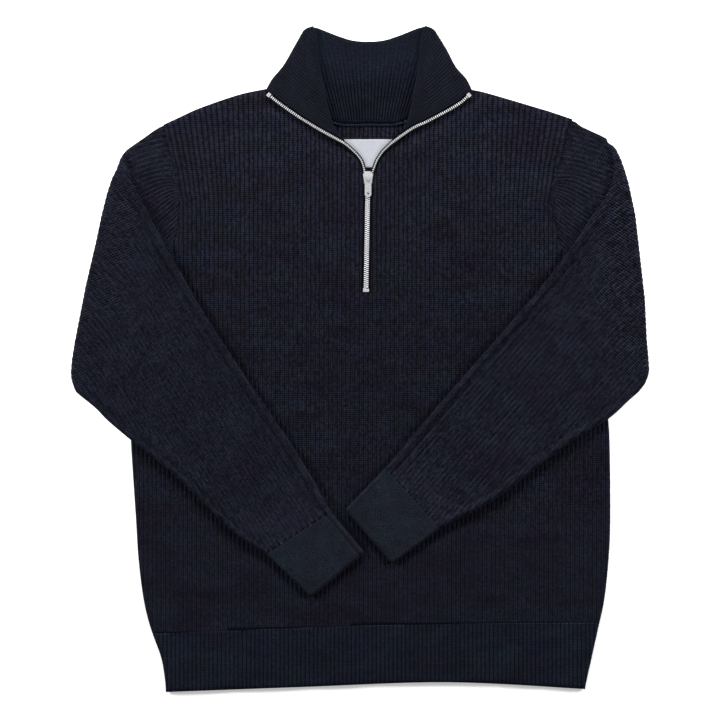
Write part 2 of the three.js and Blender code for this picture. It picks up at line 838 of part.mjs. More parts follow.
function zipTape(name, side) {
  const inner = GAP / 2;
  const wide = TAPE.edge - inner;
  const low = CHAIN.low - TAPE.past;
  const top = OPEN_ROWS[name][0].up + 1;
  const size = [wide, top - low, TAPE.thick];
  const closed = leaned(box(side * (inner + wide / 2), (low + top) / 2, TAPE.low, size));
  const open = strip(openPath(name, side), TAPE.half, -TAPE.half, 0, TAPE.thick);
  return geometryOf(solid(closed).add(solid(open)));
}

function zipRow(name, side) {
  const path = openPath(name, side).filter((p) => p.y > ROW_START);
  const stopRoom = 2;
  return strip(path.slice(0, -stopRoom), TEETH.row / 2, -TEETH.row / 2, TAPE.thick + GAP, TEETH.thick);
}

function zipChain() {
  const long = CHAIN.top - CHAIN.low;
  const low = TAPE.low + TAPE.thick + GAP;
  return leaned(box(0, CHAIN.low + long / 2, low, [TEETH.wide, long, TEETH.thick]));
}

function bottomStop() {
  const low = TAPE.low + TAPE.thick + GAP;
  const { wide, long, thick } = BOTTOM_STOP;
  return leaned(box(0, CHAIN.low - GAP - long / 2, low, [wide, long, thick]));
}

function topStop(name, side) {
  const path = openPath(name, side);
  const [before, end] = path.slice(-2);
  const geometry = box(0, 0, 0, [STOP.wide, STOP.long, STOP.thick]);
  geometry.rotateZ(Math.atan2(end.y - before.y, end.x - before.x) - Math.PI / 2);
  geometry.translate(end.x, end.y, end.z + TAPE.thick + GAP);
  return geometry;
}

function slider() {
  const { up, long, topWide, lowWide, underWide, corner, low, thick } = SLIDER;
  const plate = new THREE.Shape([
    new THREE.Vector2(-lowWide / 2, -long / 2 + corner),
    new THREE.Vector2(-lowWide / 2 + corner, -long / 2),
    new THREE.Vector2(lowWide / 2 - corner, -long / 2),
    new THREE.Vector2(lowWide / 2, -long / 2 + corner),
    new THREE.Vector2(topWide / 2, long / 2 - 2 * corner),
    new THREE.Vector2(topWide / 2 - 2 * corner, long / 2),
    new THREE.Vector2(-topWide / 2 + 2 * corner, long / 2),
    new THREE.Vector2(-topWide / 2, long / 2 - 2 * corner),
  ]);
  const upper = new THREE.ExtrudeGeometry(plate, { depth: thick, bevelEnabled: false });
  upper.translate(0, up, low);
  const floor = FRONT_LOW;
  const underThick = TAPE.low - GAP - floor;
  const lap = 0.1;
  const flangeLow = TAPE.low + TAPE.thick + GAP;
  const flangeOut = FLANGE.inner + FLANGE.wide / 2;
  const flangeUp = up - (long - FLANGE.long) / 2;
  const flangeSize = [FLANGE.wide, FLANGE.long, low - flangeLow + lap];
  const flange = (side) => box(side * flangeOut, flangeUp, flangeLow, flangeSize);
  const legUp = (sign) => BRIDGE.up + sign * (BRIDGE.hollow + BRIDGE.bar) / 2;
  const roof = low + thick + BRIDGE.rise;
  const legSize = [BRIDGE.wide, BRIDGE.bar, BRIDGE.rise + 2 * lap];
  const leg = (sign) => box(0, legUp(sign), low + thick - lap, legSize);
  return joined([
    upper,
    box(0, up, floor, [underWide, long, underThick]),
    box(0, POST.up, floor, [POST.wide, POST.long, low - floor + lap]),
    flange(-1),
    flange(1),
    leg(-1),
    leg(1),
    box(0, BRIDGE.up, roof, [BRIDGE.wide, BRIDGE.hollow + 2 * BRIDGE.bar, BRIDGE.bar]),
  ].map(solid));
}

// The pull tab, drawn flat about the bar of its eye, which lies in the slider's bridge
function pullTab() {
  const { long, wide, thick, eyeWide, window, reach, hole, holeUp, end } = TAB;
  const neck = reach + thick * 0.6;
  const shoulder = neck + wide - eyeWide;
  const outline = new THREE.Shape([
    new THREE.Vector2(-eyeWide / 2, thick / 2),
    new THREE.Vector2(-eyeWide / 2, -neck),
    new THREE.Vector2(-wide / 2, -shoulder),
    new THREE.Vector2(-wide / 2, end - long),
    new THREE.Vector2(end - wide / 2, -long),
    new THREE.Vector2(wide / 2 - end, -long),
    new THREE.Vector2(wide / 2, end - long),
    new THREE.Vector2(wide / 2, -shoulder),
    new THREE.Vector2(eyeWide / 2, -neck),
    new THREE.Vector2(eyeWide / 2, thick / 2),
  ]);
  const eye = new THREE.Path([
    new THREE.Vector2(-window / 2, -thick / 2),
    new THREE.Vector2(window / 2, -thick / 2),
    new THREE.Vector2(window / 2, -reach),
    new THREE.Vector2(-window / 2, -reach),
  ]);
  const sides = 12;
  const small = new THREE.Path(Array.from({ length: sides }, (_, i) => {
    const turn = (-2 * Math.PI * i) / sides;
    return new THREE.Vector2(hole * Math.cos(turn), holeUp + hole * Math.sin(turn) - long);
  }));
  outline.holes.push(eye, small);
  const geometry = new THREE.ExtrudeGeometry(outline, { depth: thick, bevelEnabled: false });
  geometry.translate(0, 0, -thick / 2);
  return geometry;
}

// Label and neck seam on the inside of the back
function label() {
  const half = (name, side) => neckline(name, side)
    .map((p) => new THREE.Vector2(p.x - side * LABEL.beside, p.y))
    .filter((p) => p.y < LABEL.up - LABEL.clear && p.y > LABEL.low && Math.abs(p.x) < LABEL.half);
  const shape = [
    new THREE.Vector2(-LABEL.half, LABEL.up),
    ...half('left', -1),
    ...half('right', 1).reverse(),
    new THREE.Vector2(LABEL.half, LABEL.up),
  ];
  return slab(shape, FRONT_LOW, FRONT_LOW + LABEL.thick, 0);
}

function neckRidge() {
  const path = backNeck()
    .filter((p) => Math.abs(p.x) < NECK_RIDGE.half)
    .map((p) => new THREE.Vector3(p.x, p.y - NECK_RIDGE.below, FRONT_LOW));
  return strip(path, NECK_RIDGE.wide / 2, -NECK_RIDGE.wide / 2, 0, NECK_RIDGE.thick);
}

// The whole sweater
const sweater = new THREE.Group();

function addPiece(name, piece, material) {
  const geometry = piece.isBufferGeometry ? piece : geometryOf(piece);
  const mesh = new THREE.Mesh(geometry, material);
  mesh.name = name;
  sweater.add(mesh);
  return mesh;
}

addPiece('back_panel', backPanel(), cloth(NAVY));
addPiece('front_panel', frontPanel(), cloth(NAVY));
addPiece('hem_band_back', slab(hemOutline(), 0, KNIT), cloth(NAVY));
const hemRibs = { ...BODY_RIBS, pitch: HEM_RIB };
addPiece('hem_band_front', ribWall(hemOutline(), FRONT_LOW, FRONT_TOP, hemRibs), cloth(NAVY));
addPiece('collar_back', collarBack(), cloth(NAVY));
addPiece('neck_seam_ridge', neckRidge(), cloth(NAVY));
addPiece('neck_label', label(), cloth(LABEL_WHITE));
for (const [name, side] of [['left', -1], ['right', 1]]) {
  addPiece(`sleeve_${name}`, sleeve(name), cloth(NAVY));
  addPiece(`cuff_${name}`, cuff(name), cloth(CUFF_NAVY));
  addPiece(`collar_wing_${name}`, wing(name), cloth(NAVY));
  addPiece(`zip_tape_${name}`, zipTape(name, side), cloth(TAPE_NAVY));
  addPiece(`zip_row_${name}`, zipRow(name, side), metal());
  addPiece(`zip_stop_top_${name}`, topStop(name, side), metal());
}
addPiece('zip_chain', zipChain(), metal());
addPiece('zip_stop_bottom', bottomStop(), metal());
addPiece('zip_slider', slider(), metal());
const tab = addPiece('zip_pull_tab', pullTab(), metal());
tab.position.set(0, BRIDGE.up, SLIDER.low + SLIDER.thick + BRIDGE.rise / 2);
tab.rotation.x = THREE.MathUtils.degToRad(TAB.tilt);

// The origin is on the surface, under the middle of the laid garment
const middle = new THREE.Box3().setFromObject(sweater).getCenter(new THREE.Vector3());
sweater.position.set(-middle.x, -middle.y, 0);

export default sweater;
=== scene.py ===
# %% [markdown]
# # A quarter zip sweater, laid flat
# The sweater lies on its back on a white surface, with both sleeves folded over the front and
# the collar's open ends turned outwards. Every piece of knit is a wall of cloth about 3 mm
# thick. The CAD model fixes where each piece lies, and this script gives each piece its ribs,
# rounded edges, seams and yarn.

# %% Load the frame
import math
import bmesh
import bpy
import numpy as np
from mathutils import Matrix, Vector


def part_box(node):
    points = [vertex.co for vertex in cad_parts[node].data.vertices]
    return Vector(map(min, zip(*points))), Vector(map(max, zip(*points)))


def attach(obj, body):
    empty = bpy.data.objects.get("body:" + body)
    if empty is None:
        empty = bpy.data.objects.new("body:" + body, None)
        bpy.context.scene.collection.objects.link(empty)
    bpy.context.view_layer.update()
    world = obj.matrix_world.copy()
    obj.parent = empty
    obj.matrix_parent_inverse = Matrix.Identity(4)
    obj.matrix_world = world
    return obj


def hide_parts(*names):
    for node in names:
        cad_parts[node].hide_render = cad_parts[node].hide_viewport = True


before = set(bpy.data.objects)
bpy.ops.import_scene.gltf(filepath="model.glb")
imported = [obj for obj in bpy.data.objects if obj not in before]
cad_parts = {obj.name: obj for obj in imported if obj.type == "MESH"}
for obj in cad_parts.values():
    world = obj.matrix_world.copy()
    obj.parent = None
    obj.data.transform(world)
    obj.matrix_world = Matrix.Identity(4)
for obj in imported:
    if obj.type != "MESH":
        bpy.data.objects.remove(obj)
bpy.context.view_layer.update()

print("CAD nodes:", len(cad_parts))

# %% [markdown]
# ## Sizes
# Plans are drawn in millimetres, with X from the zip line and Y up from the hem, as a knitter's
# schematic is. One shift then puts everything into the shared frame, whose origin is under the
# middle of the laid sweater. Heights are measured from the surface.

# %% Sizes
KNIT = 3.0
GAP = 0.3
RIB_RISE = 0.6
FRONT_LOW = KNIT + GAP
FRONT_TOP = FRONT_LOW + KNIT
OVER_FRONT = FRONT_TOP + RIB_RISE + GAP
TUBE = 2 * KNIT + GAP
FOLD_AXIS = (OVER_FRONT + TUBE) / 2
SHIFT = np.array([9.293, -384.5, 0.0])
COURSE = 2.45


def in_frame(points):
    """Drawing points in millimetres as points of the shared frame in metres."""
    return (np.asarray(points, float) + SHIFT) / 1000


front_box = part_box("front_panel")
print("front panel, CAD box in mm:", [round(1000 * x, 1) for corner in front_box for x in corner])

# %% [markdown]
# ## Outlines
# A few measured points describe each edge, and a Catmull-Rom curve runs smoothly through them.
# The tables name the distance out from the zip line and the height above the hem. The same
# edge is used by the two pieces that meet there, so seams fit by construction.

# %% Outline tables
SIDES = {
    "up": [0, 33, 70, 103, 150, 197, 290, 340, 395],
    "left": [237, 242, 255, 263, 269, 272, 278, 279, 278],
    "right": [254.5, 261.8, 270, 277, 282, 284, 283.2, 279.8, 283],
}
ARMHOLES = {
    "left": [(278, 396), (246, 454), (229, 512), (220, 564), (226, 607), (235, 639), (240, 659.5)],
    "right": [(283, 393), (248, 448), (225, 520), (214, 569), (217, 598), (226, 620), (240, 666)],
}
SHOULDERS = {
    "left": [(217.6, 670), (197, 679.3), (154, 694.1), (127, 700.2), (82, 708)],
    "right": [(213, 675.1), (197, 679.9), (147, 694.7), (124.5, 700.2), (82, 708)],
}
FRONT_NECK = {
    "left": [(68, 680), (46, 652), (31.6, 636), (24.5, 630.8), (16.8, 623.8),
             (11.4, 617.4), (8.6, 610.6), (6.8, 602.5), (6.3, 598)],
    "right": [(68, 680), (46, 651), (31.9, 637), (24.6, 630.7), (18.6, 624.6),
              (13.9, 617.5), (10.9, 610.4), (7.9, 602), (6.4, 598)],
}
SLIT = {"half": 5.5, "top": 590, "low": 462.5}
LEAN = {"from": 597, "slope": 0.018}
BACK_NECK = [(62, 684), (40, 663.3), (0, 661.4)]
HEM_SEAM = [(-270, 63), (5, 73.5), (285, 77.5)]
HEM_EDGE = [(-237, -5.5), (-75, 0.5), (94, 6), (254.5, -2)]
SIDE = {"left": -1, "right": 1}


def smooth(points, steps):
    """Points of a Catmull-Rom curve through the given points."""
    p = np.asarray(points, float)
    padded = np.vstack([p[:1], p, p[-1:]])
    t = np.linspace(0, len(p) - 1, steps + 1)
    i = np.minimum(t.astype(int), len(p) - 2)
    f = (t - i)[:, None]
    a, b, c, d = (padded[i + k] for k in range(4))
    bend = (2 * a - 5 * b + 4 * c - d) * f ** 2
    return 0.5 * (2 * b + (c - a) * f + bend + (3 * b - a - 3 * c + d) * f ** 3)


def on_side(name, rows):
    """Rows of (out, up) as plan points on one side of the zip line."""
    return [(SIDE[name] * out, up) for out, up in rows]


def hem_seam(x):
    return float(np.interp(x, *zip(*HEM_SEAM)))


def side_line(name):
    rows = list(zip(SIDES[name], SIDES["up"]))
    return smooth(on_side(name, rows), 48)


def side_at(name, offset):
    """The place on the side line at that height above the hem seam."""
    line = side_line(name)
    up = hem_seam(line[12][0]) + offset
    out = np.interp(up, line[:, 1], line[:, 0])
    return np.array([out, hem_seam(out) + offset])


# In SLEEVES, ribs is the ribs' slope in degrees, fold the ends of the fold, and bulge how far
# the fold swells out: (part of the fold's length, millimetres).
SLEEVES = {
    "left": {
        "ribs": 31.0, "pitch": 5.0,
        "fold": [(282, 629), (347, 362)],
        "top": [(248, 652.8), (260.5, 640.9)],
        "upper": [(257, 556), (188, 433), (114, 321), (81, 272)],
        "seam": [(43, 206), (119, 157)],
        "under": [(159, 184), (226, 249), (277, 290), (304.8, 313.4), (316.8, 326.1),
                  (329.8, 337.2), (340, 346)],
        "end": [(3.5, 158.5), (66.5, 106.5)],
        "bulge": [(0, 9.2), (0.01, 6.6), (0.025, 5), (0.04, 5.7), (0.09, 7.2), (0.13, 9.8),
                  (0.2, 11.4), (0.3, 11.5), (0.4, 10.5), (0.6, 10), (0.85, 6.8), (0.92, 5.2),
                  (0.96, 3.5), (1, 1.6)],
    },
    "right": {
        "ribs": 29.8, "pitch": 5.0,
        "fold": [(284, 639), (329, 366)],
        "top": [(249.3, 657.6), (275.5, 643.2)],
        "upper": [(270, 569), (214, 484), (116, 370), (57, 301)],
        "seam": [(20, 257.5), (84, 187)],
        "under": [(147, 220), (197, 258), (236, 287), (281, 315), (304.5, 336.2), (316, 346.5)],
        "end": [(-27, 209), (28, 145.5)],
        "bulge": [(0, 4.5), (0.02, 4.5), (0.035, 5.3), (0.08, 9), (0.12, 11), (0.18, 13.2),
                  (0.32, 15), (0.5, 12.5), (0.68, 10), (0.85, 4.4), (0.89, 3.6), (0.94, 2.6),
                  (0.98, 1.4), (1, 0.4)],
    },
}
armhole = {name: smooth(on_side(name, ARMHOLES[name]), 40) for name in SIDE}
sleeve_rim = {
    name: [smooth(on_side(name, SLEEVES[name]["upper"] + SLEEVES[name]["end"][:1]), 30),
           smooth(on_side(name, SLEEVES[name]["end"][1:] + SLEEVES[name]["under"]), 30)]
    for name in SIDE}
print("armhole points:", {name: len(line) for name, line in armhole.items()})

# %% [markdown]
# ## A wall of rib knit
# Rib knit is a row of rounded ridges with narrow grooves between them. A boolean of a striped
# block would make it, but its long thin faces shade badly, so here the wall is a grid whose
# columns run along the ribs. Grid points just outside the outline are pulled onto it, and the
# distance to the nearest edge rounds the wall over there, as a real knitted edge is round.

# %% Distances to an outline
def nearest_on(points, line):
    """Distance of each point from a line of points, and the nearest place on that line."""
    best = np.full(len(points), np.inf)
    place = np.zeros_like(points)
    for start, end in zip(line[:-1], line[1:]):
        step = end - start
        length = max(float(step @ step), 1e-9)
        t = np.clip((points - start) @ step / length, 0, 1)
        there = start + t[:, None] * step
        gap = np.linalg.norm(points - there, axis=1)
        closer = gap < best
        best[closer] = gap[closer]
        place[closer] = there[closer]
    return best, place


def inside(points, loop):
    """Which points lie inside a closed outline."""
    x, y = points.T
    within = np.zeros(len(points), bool)
    for (ax, ay), (bx, by) in zip(loop, np.roll(loop, -1, axis=0)):
        crosses = (ay > y) != (by > y)
        if crosses.any():
            within ^= crosses & (x < (bx - ax) * (y - ay) / (by - ay) + ax)
    return within


# %% A grid along the ribs
SAMPLES = 4


def rib_grid(origin, along, pitch, ribs, rows, shear=0.0):
    """Plan points, rib numbers and runs of a grid. Rows are places down the ribs, and shear
    slants them, so that they can follow a fold that crosses the ribs."""
    along = np.asarray(along, float) / np.linalg.norm(along)
    across = np.array([-along[1], along[0]])
    number = np.arange(ribs[0] * SAMPLES, ribs[1] * SAMPLES + 1) / SAMPLES
    u, t = np.meshgrid(number, rows, indexing="ij")
    run = t + u * pitch * shear
    plan = np.asarray(origin) + run[..., None] * along + (u * pitch)[..., None] * across
    return {"plan": plan, "rib": u, "run": run, "along": along, "across": across, "pitch": pitch}


def ridge(number):
    """Height of the rib at a rib number: 1 on the rounded ridge, 0 in the narrow groove."""
    away = np.abs(number - np.round(number))
    return np.sin(np.pi * np.minimum(2 * away, 1) / 2) ** 0.7


WAVES = np.random.default_rng(11).uniform(0, 2 * np.pi, (6, 2))


def ripple(plan):
    """Soft unevenness of cloth that lies under its own weight, from -1 to 1."""
    total = np.zeros(len(plan))
    for k, (turn, phase) in enumerate(WAVES):
        length = 70 + 35 * k
        heading = np.array([math.cos(turn), math.sin(turn)])
        total += np.sin(plan @ heading * 2 * np.pi / length + phase)
    return total / len(WAVES)


# %% Rounding and closing a wall
def rounded(distance, radius):
    """0 at an edge, rising to 1 at the radius, as a quarter circle does."""
    t = np.clip(distance / radius, 0, 1)
    return np.sqrt(1 - (1 - t) ** 2)


def skin(quads, plan, sample=0):
    """All faces of a wall from its upper face's quads: those, the lower face's, and a skirt
    round the border. The sample quad tells which way round the quads run."""
    first = plan[quads[sample]]
    if np.cross(first[1] - first[0], first[2] - first[0]) < 0:
        quads = quads[:, ::-1]
    n = len(plan)
    start, end = quads.ravel(), np.roll(quads, -1, axis=1).ravel()
    border = ~np.isin(start * n + end, end * n + start)
    start, end = start[border], end[border]
    skirt = np.stack([end, start, start + n, end + n], axis=1)
    return np.vstack([quads, quads[:, ::-1] + n, skirt])


def grid_quads(rows, columns):
    """The quads of a plain grid of points, kept row by row."""
    index = np.arange(rows * columns).reshape(rows, columns)
    corners = [index[:-1, :-1], index[1:, :-1], index[1:, 1:], index[:-1, 1:]]
    return np.stack(corners, axis=-1).reshape(-1, 4)


# %% The wall itself
def wall(edges, grid, low, high, relief=0.9, under=0.0, side="top", wave=0.25, creases=(),
         calm=lambda points: 1):
    """A closed wall inside the edges: a list of (line, radius, dip), where dip is how much of
    the thickness is left at that edge. side is the face that rounds over to the other one.
    Each crease is (line, distance from it, half width, height), below 0 for a furrow, and calm
    says how strong the creases are at each place."""
    loop = np.vstack([line for line, radius, dip in edges])
    plan = grid["plan"].reshape(-1, 2)
    shape = grid["rib"].shape
    within = inside(plan, loop).reshape(shape)
    cells = within[:-1, :-1] | within[1:, :-1] | within[:-1, 1:] | within[1:, 1:]
    i, j = np.nonzero(cells)
    order = np.arange(within.size).reshape(shape)
    quads = np.stack([order[i, j], order[i + 1, j], order[i + 1, j + 1], order[i, j + 1]], axis=1)
    used, flat = np.unique(quads, return_inverse=True)
    quads = flat.reshape(-1, 4)
    points = plan[used].copy()
    outside = ~within.ravel()[used]
    closed = np.vstack([loop, loop[:1]])
    points[outside] = nearest_on(points[outside], closed)[1]
    moved = points - plan[used]
    rib = grid["rib"].ravel()[used] + moved @ grid["across"] / grid["pitch"]
    run = grid["run"].ravel()[used] + moved @ grid["along"]

    full, ribbed = np.ones(len(points)), np.ones(len(points))
    for line, radius, dip in edges:
        over = rounded(nearest_on(points, line)[0], radius)
        full, ribbed = np.minimum(full, dip + (1 - dip) * over), np.minimum(ribbed, over)
    height = (high - low) * full
    upper = low + height if side == "top" else np.full(len(points), high)
    lower = high - height if side == "under" else np.full(len(points), low)
    lift = wave * ripple(points) * full
    fold = np.zeros(len(points))
    for line, distance, half_width, rise in creases:
        gap = nearest_on(points, line)[0]
        fold += rise * np.exp(-((gap - distance) / half_width) ** 2) * full * calm(points)
    depth = relief(points) if callable(relief) else relief
    upper = upper + depth * (ridge(rib) - 1) * ribbed + RIB_RISE * (side == "top") * full + lift
    lower = lower + under * (1 - ridge(rib)) * ribbed + (lift if low > 0 else 0)
    upper, lower = (upper + fold, lower) if side == "top" else (upper, lower - fold)

    places = np.vstack([np.column_stack([points, upper]), np.column_stack([points, lower])])
    uv = np.column_stack([rib, run / COURSE])
    return {"points": places, "faces": skin(quads, points), "uv": np.vstack([uv, uv])}


def together(*walls):
    """Several walls as one."""
    start = np.cumsum([0] + [len(w["points"]) for w in walls[:-1]])
    return {
        "points": np.vstack([w["points"] for w in walls]),
        "faces": np.vstack([w["faces"] + s for w, s in zip(walls, start)]),
        "uv": np.vstack([w["uv"] for w in walls]),
    }


# %% From wall to object
def mesh_object(name, points, faces, material):
    """A smooth object in the scene from points in millimetres."""
    mesh = bpy.data.meshes.new(name)
    mesh.from_pydata(in_frame(points).tolist(), [], faces)
    mesh.materials.append(material)
    mesh.shade_smooth()
    obj = bpy.data.objects.new(name, mesh)
    bpy.context.scene.collection.objects.link(obj)
    return obj


def declare(obj, nodes):
    """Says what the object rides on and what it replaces."""
    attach(obj, "garment")
    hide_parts(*nodes)
    triangles = sum(len(f.vertices) - 2 for f in obj.data.polygons)
    print(obj.name, "triangles:", triangles)


def piece(name, shape, material, nodes):
    """A declared object from a shape, which carries the rib and course numbers as its UVs."""
    obj = mesh_object(name, shape["points"], [list(map(int, f)) for f in shape["faces"]], material)
    layer = obj.data.uv_layers.new(name="knit")
    corner = np.empty(len(obj.data.loops), int)
    obj.data.loops.foreach_get("vertex_index", corner)
    layer.data.foreach_set("uv", shape["uv"][corner].astype(np.float32).ravel())
    declare(obj, nodes)
    return obj


def area_of(edges):
    """Area inside the edges in square metres."""
    x, y = np.vstack([line for line, radius, dip in edges]).T
    return abs(np.sum(x * np.roll(y, -1) - y * np.roll(x, -1))) / 2e6


# %% [markdown]
# ## Shader arithmetic
# Node trees are easier to read as formulas. This small class wraps a socket: arithmetic on it
# adds Math nodes, and one method adds any other node.

# %% Socket wrapper
class Sock:
    """An output socket in a node tree, with arithmetic that adds Math nodes."""

    def __init__(self, tree, out):
        self.tree = tree
        self.out = out

    def node(self, kind, settings=None, values=None, output=0):
        made = self.tree.nodes.new("ShaderNode" + kind)
        for name, value in (settings or {}).items():
            setattr(made, name, value)
        for name, value in (values or {}).items():
            if isinstance(value, Sock):
                self.tree.links.new(value.out, made.inputs[name])
            else:
                made.inputs[name].default_value = value
        return Sock(self.tree, made.outputs[output])

    def math(self, operation, *values):
        return self.node("Math", {"operation": operation}, dict(enumerate(values)))

    def __add__(self, other):
        return self.math("ADD", self, other)

    def __sub__(self, other):
        return self.math("SUBTRACT", self, other)

    def __rsub__(self, other):
        return self.math("SUBTRACT", other, self)

    def __mul__(self, other):
        return self.math("MULTIPLY", self, other)

    def __pow__(self, other):
        return self.math("POWER", self, other)

    __radd__ = __add__
    __rmul__ = __mul__


def new_material(name):
    """A material, its tree wrapped as a Sock, and its Principled shader."""
    material = bpy.data.materials.new(name)
    material.use_nodes = True
    tree = material.node_tree
    return material, Sock(tree, None), tree.nodes["Principled BSDF"]


def feed(shader, socket, value):
    """Links a Sock to the shader's socket, or sets a constant on the socket itself."""
    if isinstance(value, Sock):
        value.tree.links.new(value.out, shader.inputs[socket])
    else:
        shader.inputs[socket].default_value = value


# %% [markdown]
# ## Yarn
# Each rib is a column of V-shaped stitches, and a purl column lies deep in each groove. The
# pattern is worked out from the two UV numbers that every wall carries, the rib and the course,
# so the stitches follow the ribs round every fold. The colour has painted shade in it: dark in
# the grooves, along the line between a stitch's two arms and where one course meets the next,
# as the real grooves are deeper than the walls' own ribs. Only the finest relief is a bump: the
# ribs themselves are real.

# %% Knit material
WARM = (1.08, 0.95, 1.02)
COLD = (0.88, 1.07, 0.97)


def knit_material(name, colour, groove=0.95, split=0.6, stitch=1.0, grain=0.8,
                  fade=(0, 1, 1, 1), relief=0.0005):
    """Knit of two stitch arms to a rib, with painted shade in its colour. groove is how dark the
    painted shade in the purl column is, split that along the line between the two arms, and
    stitch that where one course meets the next. grain is how much one stitch differs from the
    next, and fade how strong all this is. Split, stitch and fade may change along the ribs:
    (first course, last course, strength there, strength here)."""
    material, tree, shader = new_material(name)
    uv = tree.node("UVMap", {"uv_map": "knit"})
    rib = uv.node("SeparateXYZ", values={0: uv}, output=0)
    run = uv.node("SeparateXYZ", values={0: uv}, output=1)

    def along_ribs(way):
        if not isinstance(way, tuple):
            return way
        return uv.node("MapRange", values={"Value": run, **dict(enumerate(way, 1))})

    split, stitch, depth = along_ribs(split), along_ribs(stitch), along_ribs(fade)
    valley = 1 - (rib.math("PINGPONG", rib, 0.5) * 2)
    crown = 1 - valley
    arm = run + crown * 0.35
    loop = arm.math("SINE", arm * (2 * math.pi)) * 0.5 + 0.5
    fuzz = uv.node(
        "TexNoise", values={"Vector": uv, "Scale": 0.9, "Detail": 4.0, "Roughness": 0.75})
    arms = uv.node("VectorMath", {"operation": "MULTIPLY"}, {0: uv, 1: (2, 1, 1)})
    which = uv.node("VectorMath", {"operation": "FLOOR"}, {0: arms})
    chance = uv.node("TexWhiteNoise", {"noise_dimensions": "2D"}, {"Vector": which})
    patch = uv.node("TexNoise", values={"Vector": uv, "Scale": 0.16, "Detail": 2.0})
    cloudy = uv.node("TexNoise", values={"Vector": uv, "Scale": 0.07, "Detail": 2.0})
    height = (1 - valley ** 3) * (loop * (stitch * 0.5) + 0.5) + fuzz * 0.35
    bump = uv.node("Bump", values={"Strength": 0.8, "Distance": relief, "Height": height})
    # Painted shade: dark in each purl groove and along the line between a rib's two stitch arms.
    painted_rib_shade = (1 - valley ** 1.6 * depth * groove) * (1 - crown ** 3 * depth * split)
    # Painted shade where one course meets the next, stronger in patches.
    painted_course_shade = 1 - ((0.5 - loop) * stitch + 0.5) * (patch * 0.9 + 0.5) * depth
    uneven = ((fuzz - 0.5) * 2.2 + 1) * ((chance - 0.5) * stitch * depth * grain + 1)
    # depth ** 0.6 darkens the colour where the painted shade fades, so that the knit stays about
    # as dark.
    shade = painted_rib_shade * painted_course_shade * uneven * (cloudy * 0.8 + 0.6) * depth ** 0.6
    warm, cold = ([c * t for c, t in zip(colour, tint)] + [1] for tint in (WARM, COLD))
    dye = uv.node(
        "Mix", {"data_type": "RGBA"}, {"Factor": cloudy * 3.0 - 1.0, "A": warm, "B": cold}, 2)
    tone = uv.node("Mix", {"data_type": "RGBA"}, {"Factor": shade, "A": (0, 0, 0, 1), "B": dye}, 2)
    feed(shader, "Base Color", tone)
    feed(shader, "Normal", bump)
    feed(shader, "Roughness", 0.85)
    feed(shader, "Specular IOR Level", 0.03)
    feed(shader, "Sheen Weight", 0.03)
    feed(shader, "Sheen Roughness", 0.5)
    feed(shader, "Sheen Tint", (0.45, 0.5, 0.7, 1))
    return material


# %% The sweater's yarns
rib_knit = knit_material(
    "rib_knit", (0.0212, 0.0220, 0.0400), groove=1.0, split=(55, 150, 0.45, 0.95),
    stitch=(205, 245, 1.0, 0.4), grain=1.0, fade=(110, 230, 1, 0.9))
sleeve_knit = knit_material(
    "sleeve_knit", (0.0265, 0.0272, 0.049), groove=0.9, split=0.95, grain=1.2,
    fade=(130, 165, 1, 0.7))
collar_knit = knit_material(
    "collar_knit", (0.0117, 0.0149, 0.0270), groove=1.0, split=0.3, stitch=0.6,
    fade=(14, 30, 0.3, 1))
wing_knit = knit_material(
    "wing_knit", (0.0130, 0.0149, 0.0250), groove=0.7, split=0.2, stitch=0.6)
hem_knit = knit_material(
    "hem_knit", (0.0173, 0.0213, 0.0386), groove=0.9, split=0.5, stitch=0.6, grain=0.4)
cuff_knit = knit_material(
    "cuff_knit", (0.0193, 0.0237, 0.0366), groove=0.5, split=0.3, stitch=0.6, grain=0.5,
    relief=0.0003)
print("materials:", len(bpy.data.materials))

# %% [markdown]
# ## Body
# The front and back are knitted with vertical ribs, and linked to a hem band of finer rib. Laid
# flat, the front lies on the back. Each is a wall whose outer face rounds over at the sides, so
# that the two together look like one soft tube.

# %% How edges are finished
# SOFT is the radius of an outer edge. The others are (radius, part of the thickness left).
SOFT = 3.2
SEAM = (1.0, 0.96)
DEEP_SEAM = (2.6, 0.4)
NECK_EDGE = (2.2, 0.15)
SLIT_EDGE = (1.5, 0.4)
SEAM_GAP = 0.03


# %% Front and back outlines
def panel_edges(neck):
    """Edges of a body panel, anticlockwise from the hem seam's left end."""
    def half(name):
        line = side_line(name)
        keep = np.array([y > hem_seam(x) + 3 for x, y in line])
        line = line[keep][:-1]
        waist = np.vstack([[side_at(name, SEAM_GAP / 2)], line, armhole[name][:1]])
        shoulder = smooth(on_side(name, [ARMHOLES[name][-1]] + SHOULDERS[name]), 20)
        return waist, shoulder
    waist_l, shoulder_l = half("left")
    waist_r, shoulder_r = half("right")
    seam_y = hem_seam(5) + SEAM_GAP / 2
    seam = np.vstack([waist_l[:1], [[5, seam_y]], waist_r[:1]])
    return [
        (seam, *SEAM),
        (waist_r, SOFT, 0),
        (armhole["right"], *DEEP_SEAM),
        (shoulder_r, SOFT, 0),
        *neck,
        (shoulder_l[::-1], SOFT, 0),
        (armhole["left"][::-1], *DEEP_SEAM),
        (waist_l[::-1], SOFT, 0),
    ]


def neckline(name):
    return smooth(on_side(name, [SHOULDERS[name][-1]] + FRONT_NECK[name]), 30)


def lean(up):
    """Sideways shift of the closed zip, which leans a little to the left below its slider."""
    return -LEAN["slope"] * np.maximum(0, LEAN["from"] - np.asarray(up, float))


def slit(name):
    ends = [(SIDE[name] * SLIT["half"] + lean(up), up) for up in (SLIT["top"], SLIT["low"])]
    return np.array([neckline(name)[-1], *ends])


